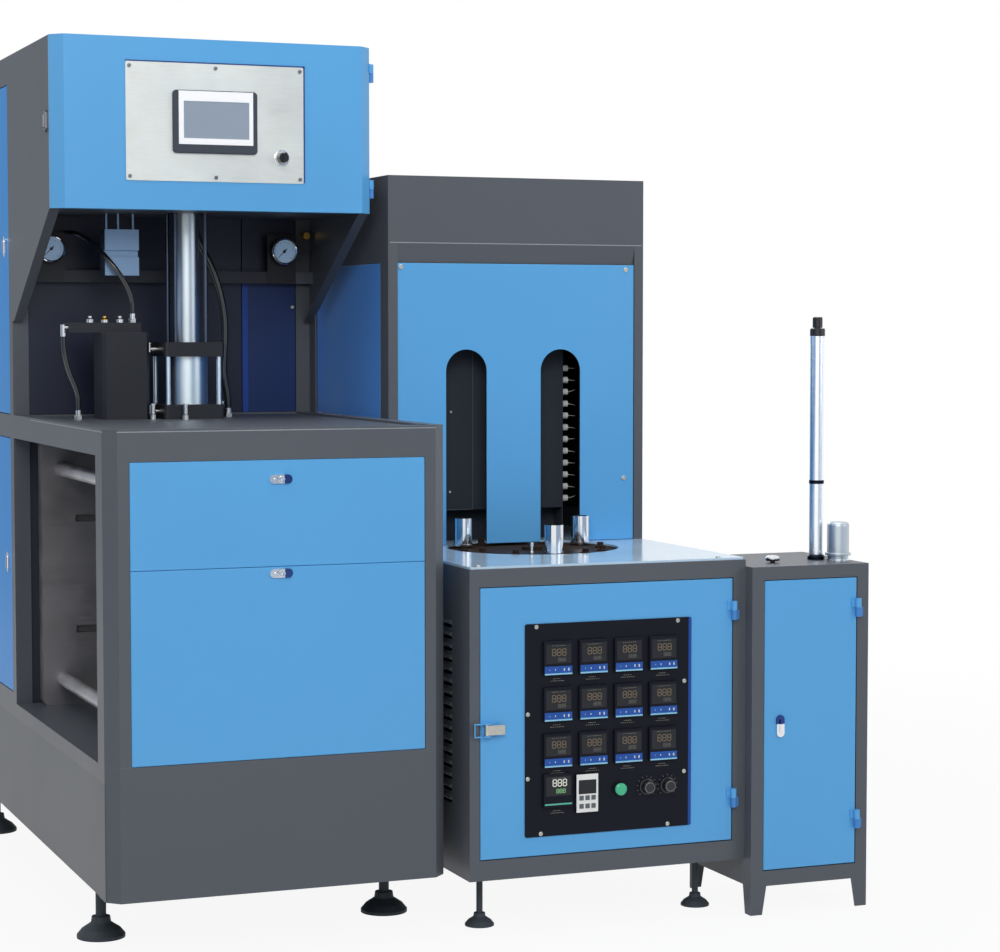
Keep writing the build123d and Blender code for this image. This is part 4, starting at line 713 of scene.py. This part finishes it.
door_slabs("controller_windows", module_boxes(everyone, 31, 0.5, -12, 33), display_glass, bevel=0.4)
door_slabs("controller_stripes", module_boxes(controllers, 34, 0.6, -34, -18), stripe_blue, bevel=0.3)
door_slabs("controller_lines", module_boxes(controllers, 34, 0.8, -37.5, -34), line_cyan, bevel=0.3)
door_slabs("last_controller_line", module_boxes([last_controller], 34, 0.8, -33, -29.5), line_teal,
           bevel=0.3)

# %% Digits from seven segments
# Each segment: across and up from the digit's middle, as shares of its size, and whether it stands.
SEGMENTS = [(0, 1, False), (0.5, 0.5, True), (0.5, -0.5, True), (0, -1, False), (-0.5, -0.5, True),
            (-0.5, 0.5, True), (0, 0, False)]
LEVEL, STANDING = (0, 0, 0), (0, pi / 2, 0)
MARK_LENGTH = 10
INK_Y = MODULE_Y - 0.8


def digit_marks(x, z, width, height):
    """Points for a row of three digits centred on x and z; width is of one digit."""
    marks = []
    pitch = width * 1.45
    for place_now in (-1, 0, 1):
        middle = x + place_now * pitch
        for across, rise, stands in SEGMENTS:
            spot = (middle + across * width, INK_Y, z + rise * height / 2)
            length = (height * 0.42 if stands else width * 0.8) / MARK_LENGTH
            marks.append((spot, STANDING if stands else LEVEL, (length, 1, 1)))
    return marks


dim_brown = moulded("digit_brown", srgb(122, 108, 88), rough=0.5, glow=0.12)
small_grey = moulded("digit_grey", srgb(108, 108, 100), rough=0.5, glow=0.08)
bright = moulded("digit_bright", srgb(214, 214, 204), rough=0.5, glow=0.35)
green = moulded("digit_green", srgb(126, 186, 130), rough=0.5, glow=0.25)
big, small = [], []
for x, z in controllers:
    big += digit_marks(x + 1, z + 14, 8.6, 15)
    small += digit_marks(x + 8, z - 3, 4.6, 7.5)
x, z = last_controller
door_marks("big_digits", big, dim_brown, 1.6)
door_marks("small_digits", small, small_grey, 0.9)
door_marks("bright_digits", digit_marks(x + 3, z + 18, 8.6, 15), bright, 2)
door_marks("green_digits", digit_marks(x + 6, z - 1, 5.6, 9), green, 1.4)

# %% Bare legends over and under the controllers
legend_grey = moulded("legend_grey", srgb(126, 124, 114), rough=0.5, height=0.05)
mark_white = moulded("mark_white", srgb(206, 214, 220), rough=0.5, height=0.05)
random.seed(7)
LETTER_STEP = 5
legends, whites = [], []
for x, z in everyone:
    for step in range(7):
        spot = (x - 15 + step * LETTER_STEP, MODULE_Y - 0.7, z + 29)
        legends.append((spot, LEVEL, (random.uniform(0.2, 0.42), 1, 0.9)))
    for row, count in ((47.5, 4), (52.5, 7)):
        for step in range(count):
            spot = (x - count * 2.2 + step * LETTER_STEP, PANEL_Y - 0.3, z - row)
            legends.append((spot, LEVEL, (random.uniform(0.2, 0.42), 1, 1.2)))
for x, z in controllers:
    for across, wide, tall in ((-22, 0.1, 2), (-8, 0.2, 3), (14, 0.3, 4.5), (25, 0.35, 5.0)):
        whites.append(((x + across, INK_Y, z - 26), LEVEL, (wide, 1, tall)))
door_marks("panel_legends", legends, legend_grey, 1.2)
door_marks("stripe_marks", whites, mark_white, 1.3)

# %% [markdown]
# The keypad beside the last controller has a cream face, a dark display and six dark keys in two
# rows. The panel's right edge shows a dark blue sealing strip, and ticks run round both dials.

# %% Keypad, strip and dial marks
KX, KZ, KY = 1105.0, 316.5, MODULE_Y
door_slabs("keypad_face", [(KX - 27, KX + 27, KY - 1.2, KY + 1, KZ - 44, KZ + 44)], cream, bevel=0.8)
keys = [(KX + dx - 5.5, KX + dx + 5.5, KY - 2.4, KY - 1, KZ - 16 - 19 * row, KZ - 5 - 19 * row)
        for row in range(2) for dx in (-15, 0, 15)]
door_slabs("keypad_keys", keys, key_grey, bevel=0.8)
door_slabs("keypad_display", [(KX - 22, KX + 22, KY - 1.6, KY - 1, KZ - 1.5, KZ + 31)], display_glass,
           bevel=0.4)
strip_blue = moulded("strip_blue", srgb(28, 72, 156), rough=0.4, height=0.05)
door_slabs("panel_edge_strip", [(1365, 1372.5, PANEL_Y - 0.6, PANEL_Y + 2.9, 223, 710)], strip_blue,
           bevel=0.3)
DIALS, DIAL_Z = {"left": 1259.0, "right": 1312.0}, 320


def round_mark(cx, y, cz, radius, turn_by, length):
    """Mark that points away from the middle of a dial, turned clockwise from the top."""
    spot = (cx + radius * sin(turn_by), y, cz + radius * cos(turn_by))
    return (spot, (0, turn_by + pi / 2, 0), (length, 1, 1))


ticks = [round_mark(cx, PANEL_Y - 0.3, DIAL_Z, 24, radians(-135 + 27 * step), 0.35)
         for cx in DIALS.values() for step in range(11)]
door_marks("dial_ticks", ticks, legend_grey, 1)

# %% [markdown]
# ## Operator screen
# The screen sits in a dark bezel that is widest below. A white frame runs round a grey-blue pane.

# %% Operator screen
screen_white = moulded("screen_white", srgb(246, 248, 252), rough=0.4, height=0.03, glow=0.14)
pane_glass = moulded("pane_grey_blue", srgb(148, 161, 178), rough=0.14, grain=40.0, height=0.01, coat=0.4,
                     glow=0.1)
SX0, SX1, SZ0, SZ1 = 296.5, 477.0, 1813.5, 1938.0
PX0, PX1, PZ0, PZ1 = 308.5, 467.5, 1827.5, 1914.5
FY0, FY1 = 498.9, 500.4
slabs("screen_frame", [(SX0, SX1, FY0, FY1, PZ1, SZ1), (SX0, SX1, FY0, FY1, SZ0, PZ0),
                       (SX0, PX0, FY0, FY1, PZ0, PZ1), (PX1, SX1, FY0, FY1, PZ0, PZ1)], "head_cover",
      screen_white, bevel=0.2, segments=1)
slabs("screen_pane", [(PX0 - 1, PX1 + 1, 500.2, 501.8, PZ0 - 1, PZ1 + 1)], "head_cover", pane_glass,
      bevel=0.2)

# %% [markdown]
# ## Pressure gauges
# Each gauge has a pale dial with ticks, its numbers left off, and a polished rim. The pointer is a
# moving node of its own in front of the dial.

# %% Rings and discs in mesh code
SIDES = 48


def turned_piece(name, profile, centre, facing, body, material):
    """Ring or disc turned from (radius, height) pairs about an axis that faces front or up."""
    shape = bmesh.new()
    rings = []
    for radius, height in profile:
        ring = []
        for step in range(SIDES):
            turn_by = 2 * pi * step / SIDES
            u, v = radius * cos(turn_by), radius * sin(turn_by)
            spot = {"front": (u, -height, v), "up": (u, v, height)}[facing]
            ring.append(shape.verts.new(at(*(c + s for c, s in zip(centre, spot)))))
        rings.append(ring)
    for first, second in zip(rings, rings[1:] + rings[:1]):
        for step in range(SIDES):
            after = (step + 1) % SIDES
            shape.faces.new((first[step], first[after], second[after], second[step]))
    bmesh.ops.remove_doubles(shape, verts=shape.verts[:], dist=1e-6)
    bmesh.ops.recalc_face_normals(shape, faces=shape.faces[:])
    modelled_piece(name, shape, body, material)


print("lathe ready")

# %% Dials, rims and ticks
# The dials glow a little, though no lamp is in them: painted light that brightens them.
dial_white_painted_glow = moulded("dial_white_painted_glow", srgb(172, 204, 238), rough=0.35, height=0.03, glow=0.2)
tick_dark = moulded("tick_dark", srgb(54, 58, 66), rough=0.5, height=0.05)
GAUGE_Z = 1580
gauge_ticks = []
for side, gx in (("left", 88.0), ("right", 692.0)):
    turned_piece(f"gauge_dial_{side}", [(0.001, 0), (29.6, 0), (29.6, 0.8), (0.001, 0.8)],
                 (gx, 963.9, GAUGE_Z), "front", "machine", dial_white_painted_glow)
    turned_piece(f"gauge_rim_{side}", [(29.4, 0), (33.6, 0), (34.4, 2), (34.0, 5), (31.6, 6.6), (29.4, 5)],
                 (gx, 960, GAUGE_Z), "front", "machine", chrome)
    for step in range(26):
        share = 1.0 if step % 5 == 0 else 0.5
        gauge_ticks.append(round_mark(gx, 962.8, GAUGE_Z, 26 - 2.5 * share, radians(-135 + 270 * step / 25),
                                      0.5 * share))
spread("gauge_ticks", mark_tree, gauge_ticks, "machine", tick_dark, "black_plastic", Width=0.0009)

# %% [markdown]
# ## Lamp wires and louvres
# Every lamp in the oven ends in white sockets, and a thin wire leaves each of them outwards. Wires
# follow a path, so a tree turns each line of points into a round wire. Louvres repeat down the
# heater's side: every slot gets a hood that leans out over it, made from the straight marks tree.

# %% Tree: wires along lines
wire_tree, entry, out = geometry_tree("wires", {"Radius": 0.0012, "Step": 0.004})
line = node(wire_tree, "GeometryNodeMeshToCurve", {"Mesh": entry["Mesh"]})
smooth = node(wire_tree, "GeometryNodeCurveSplineType", {"Curve": line}, spline_type="CATMULL_ROM")
even = node(wire_tree, "GeometryNodeResampleCurve", {"Curve": smooth, "Length": entry["Step"]},
            mode="LENGTH")
circle = node(wire_tree, "GeometryNodeCurvePrimitiveCircle", {"Resolution": 8, "Radius": entry["Radius"]})
tube = node(wire_tree, "GeometryNodeCurveToMesh", {"Curve": even, "Profile Curve": circle,
                                                   "Fill Caps": True})
close_tree(wire_tree, tube, entry, out)
tell(wire_tree)


def wires(name, rows, body, material, slot, radius):
    """Round wires through rows of points in drawing millimetres."""
    points, edges = [], []
    for row in rows:
        edges += [(i, i + 1) for i in range(len(points), len(points) + len(row) - 1)]
        points += [(spot,) for spot in row]
    spread(name, wire_tree, points, body, material, slot, edges, Radius=radius / 1000, Step=0.004)


# %% Lamp wires and louvre hoods
wire_white = moulded("wire_white", srgb(214, 214, 210), rough=0.4, height=0.05)
LAMP_STEP, LOUVRE_STEP = 30.3, 27
runs = []
for side, x0 in ((1, 1347.0), (-1, 963.0)):
    for level in range(12):
        z = 947.0 + LAMP_STEP * level
        lean = random.uniform(-5, 5)
        runs.append([(x0 - side * 2, 640, z), (x0 + side * 9, 640, z + lean * 0.3),
                     (x0 + side * 20, 642, z + lean), (x0 + side * 28, 652, z + lean * 1.4)])
wires("lamp_wires", runs, "machine", wire_white, "white_ceramic", radius=0.9)
# The hoods are painted darker than the cabinet: painted shade that damps the light they catch.
hoods = [((818.5, 108, 304 + LOUVRE_STEP * i), (0, radians(-50), 0), (0.08, 75, 5)) for i in range(16)]
hood_painted_shade = paint("hood_painted_shade_grey", srgb(62, 66, 72), rough=0.5)
spread("louvre_hoods", mark_tree, hoods, "machine", hood_painted_shade, "grey_paint", Length=0.1, Thickness=0.0008,
       Width=0.0013)

# %% [markdown]
# Seen from the front, the lamps hide behind a dark reflector plate that is folded once and screwed to
# the rack. The tower's rear post has a return that closes the view past it. On its front post, a dark
# strip closes the gap beside the rear platen: painted shade, a dark sheet where the gap shows shade.

# %% Reflector plate and wall return
slabs("reflector_plate", [(984, 1077, 610.4, 612.4, 926, 1334), (1077, 1322, 612, 613.8, 926, 1334)],
      "machine", rack_dark, bevel=0.3)
plate_edge = moulded("plate_edge_grey", srgb(78, 84, 95), rough=0.6)
slabs("reflector_fold", [(1075.5, 1077.5, 609.9, 610.6, 926, 1334), (984, 1077, 609.9, 610.6, 926, 928)],
      "machine", plate_edge, bevel=0)
screws("reflector_screws", [(1018, 610, 1173), (1015, 610, 972)], "machine", zinc, Radius=0.003,
       Height=0.0015)
slabs("wall_return", [(776.8, 779.6, 970, 1023, 1164, 1497)], "machine", slate_paint,
      bevel=0.4)
# The dark strip is painted shade in the gap beside the rear platen.
slabs("gap_shade_strip", [(40.2, 64, 1026.3, 1029, 436, 1097)], "machine", rack_dark, bevel=0.4)

# %% [markdown]
# ## Small turned pieces
# A few bright pieces are turned on a lathe: the selector's and the dials' rings, the latches' bosses,
# the cap of the push button, the brass stud on the turntable, the collar under the rod's head and the
# cup's rounded shell.

# %% Turned pieces
def front_face(name):
    """How far back a node's front face stands, in drawing millimetres."""
    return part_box(name)[0][1] * 1000 + ORIGIN_Y


turned_piece("selector_ring", [(15.2, 0), (19.5, 0), (18.8, 2.4), (16.2, 2.8), (15.2, 2)],
             (549, PLATE_Y - 0.2, 1787), "front", "head_cover", chrome)
ring_profile = [(10.6, -0.5), (12.2, -0.5), (12.2, 0.5), (11.8, 0.9), (10.9, 0.9), (10.6, 0.5)]
for side, cx in DIALS.items():
    dial = f"dial_{side}"
    turned_piece(f"dial_ring_{side}", ring_profile, (cx, front_face(dial), DIAL_Z), "front", dial,
                 screw_steel)
boss_profile = [(2.6, -0.5), (7.2, -0.5), (7.2, 0.4), (6, 1.3), (3.4, 1.3), (2.6, 0.4)]
for level, lz in (("lower", 845.0), ("upper", 1052.0)):
    latch = f"panel_latch_{level}"
    turned_piece(f"latch_boss_{level}", boss_profile, (388, front_face(latch), lz), "front", latch,
                 chrome)
BUTTON_PLACE = (1615, 20, 824)
turned_piece("push_cap_skirt", [(0.001, 4.8), (15.6, 4.8), (16.6, 6.5), (16.6, 10), (0.001, 10)],
             BUTTON_PLACE, "up", "push_button", knob_black)
dome_profile = [(0.001, 9.6), (17.4, 9.6), (17.4, 11.6), (15.6, 14.6), (11.5, 16.8), (6, 17.9),
                (0.001, 18.2)]
turned_piece("push_cap_dome", dome_profile, BUTTON_PLACE, "up", "push_button", chrome)
stud_profile = [(0.001, 0), (4.8, 0), (4.8, 10), (3.4, 12), (3.4, 22), (4.6, 23), (4.6, 31), (3.6, 33),
                (0.001, 33)]
turned_piece("brass_stud", stud_profile, (1083, 236, 839.2), "up", "turntable", fitting_metal)
turned_piece("rod_collar", [(8.8, 0), (17.6, 0), (18.2, 1), (18.2, 16), (17, 18.6), (8.8, 18.6)],
             (1754, 60, 1363.2), "up", "machine", knob_black)
shell_profile = [(0.001, 3), (24.8, 3), (24.8, 12), (30.5, 12.6), (31, 13.6), (31, 18), (30.4, 19),
                 (26.4, 19.4), (26.4, 84), (25.9, 87.6), (24.4, 90.4), (21.8, 92.2), (18, 93), (0.001, 93.4)]
turned_piece("cup_shell", shell_profile, (1792, 20, 824), "up", "machine", tube_alloy)

# %% [markdown]
# Sheet edges catch the light as thin lines, and we paint these highlights on as light strips along the
# oven's fold and the deck's edge. A painted shadow borders the operator plate at its top and right as
# a dark navy line.

# %% Edge lines
fold_light = paint("fold_highlight", srgb(150, 158, 166), rough=0.4)
# The navy line is a painted shadow along the operator plate's top and right edges.
plate_shadow_navy = moulded("plate_shadow_navy", srgb(44, 70, 132), rough=0.5)
slabs("oven_fold_highlight", [(829, 1506, 529.5, 530.6, 1590.4, 1592.6)], "machine", fold_light,
      bevel=0)
slabs("deck_edge_highlight", [(27, 753, -0.5, 1.4, 1158.4, 1160.5), (-0.5, 1.4, 27, 800, 1158.4, 1160.5)],
      "machine", fold_light, bevel=0)
slabs("plate_shadow_line", [(604.2, 607.4, 507.4, 509.8, 1729, 2006), (172, 607.4, 507.4, 509.8, 2003.2, 2006)],
      "head_cover", plate_shadow_navy, bevel=0)

# %% [markdown]
# ## Floor, lights and background
# The floor and the world are white to the camera and to reflections, while the light on the machine
# comes from soft lamps and a weaker world. That keeps the background clean without burning out the
# paint.

# %% Floor
def seen_rays(tree):
    """1 for rays of the camera, a reflection or a pane, and 0 for rays that carry light."""
    rays = node(tree, "ShaderNodeLightPath").outputs
    seen = maths(tree, "MAXIMUM", rays["Is Camera Ray"], rays["Is Glossy Ray"])
    return maths(tree, "MAXIMUM", seen, rays["Is Transmission Ray"])


def stage_sheet(name, corners, look):
    """Flat sheet with four corners in metres."""
    mesh = bpy.data.meshes.new(name)
    mesh.from_pydata(corners, [], [(0, 1, 2, 3)])
    mesh.materials.append(look)
    sheet = placed_object(name, mesh)
    return sheet


WHITE = (1, 1, 1, 1)
half = 30.0
floor_look, floor_shader = blank_material("studio_floor", Base_Color=(0.7, 0.71, 0.72, 1), Roughness=0.7)
studio_floor = stage_sheet(
    "studio_floor", [(-half, -half, 0), (half, -half, 0), (half, half, 0), (-half, half, 0)], floor_look)
studio_floor.location.z = -0.0005
tree = floor_look.node_tree
away = node(tree, "ShaderNodeVectorMath", {0: own_place(tree)}, operation="LENGTH").outputs["Value"]
clean = ramp(tree, away, low=1.2, high=4.5, To_Min=0.92)
share = maths(tree, "MULTIPLY", seen_rays(tree), clean)
glow = node(tree, "ShaderNodeEmission", {"Color": WHITE, "Strength": 1.0})
blend = node(tree, "ShaderNodeMixShader", {0: share, 1: floor_shader, 2: glow})
give(tree, tree.nodes["Material Output"], Surface=blend)
print("floor", 2 * half, "m wide")

# %% World and lamps
world = bpy.data.worlds.new("studio")
bpy.context.scene.world = world
world.use_nodes = True
tree = world.node_tree
tree.nodes.clear()
fill = node(tree, "ShaderNodeBackground", {"Color": WHITE, "Strength": 0.24})
white = node(tree, "ShaderNodeBackground", {"Color": WHITE, "Strength": 1.0})
blend = node(tree, "ShaderNodeMixShader", {0: seen_rays(tree), 1: fill, 2: white})
node(tree, "ShaderNodeOutputWorld", {"Surface": blend})


def soft_lamp(name, place_at, aim, size, watts, colour=(1, 1, 1)):
    """Rectangular lamp that looks from one place to another, in metres."""
    lamp = bpy.data.lights.new(name, "AREA")
    lamp.shape = "RECTANGLE"
    lamp.size, lamp.size_y = size
    lamp.energy = watts
    lamp.color = colour
    made = placed_object(name, lamp)
    made.location = place_at
    made.rotation_euler = (Vector(aim) - Vector(place_at)).to_track_quat("-Z", "Y").to_euler()
    print(name, watts, "W")


soft_lamp("key_front", (-1.6, -5.5, 3.6), (0, 0, 1.0), (3.2, 2.4), 130)
soft_lamp("fill_left", (-5.0, -0.6, 3.3), (-0.9, 0.2, 1.8), (3.0, 2.4), 36, (1.0, 0.97, 0.93))
soft_lamp("fill_right", (3.8, -4.2, 2.4), (0.3, 0, 0.9), (2.4, 2.4), 36)
soft_lamp("fill_back", (1.2, 5.2, 3.2), (0, 0.6, 1.0), (3.0, 2.4), 46)
soft_lamp("top_soft", (0.4, -0.6, 4.6), (0.2, 0, 0), (3.0, 3.0), 60)
bpy.context.scene.view_settings.view_transform = "Standard"

# %% [markdown]
# A polished cylinder in an all-white room looks like paper. Photographers stand dark cards round it,
# and so do we: three upright cards that only glossy rays see, so that they shade no paint.

# %% Cards for the chrome
TALL = 5.0


def gloss_card(name, first, last, colour):
    """Upright card from first to last, two places in metres, seen by reflections alone."""
    (x0, y0), (x1, y1) = first, last
    look = blank_material(name, Base_Color=(0, 0, 0, 1), Specular_IOR_Level=0.0, Emission_Strength=1.0,
                          Emission_Color=colour)[0]
    card = stage_sheet(name, [(x0, y0, 0), (x1, y1, 0), (x1, y1, TALL), (x0, y0, TALL)], look)
    card.visible_camera = card.visible_diffuse = card.visible_shadow = card.visible_transmission = False
    print(name, "stands")


gloss_card("card_left", (-6.0, -5.2), (-7.8, 1.6), (0.10, 0.24, 0.50, 1))
gloss_card("card_right", (0.9, -8.2), (7.0, -3.8), (0.34, 0.42, 0.55, 1))
gloss_card("card_back", (-7.0, 4.0), (1.5, 8.5), (0.48, 0.52, 0.58, 1))
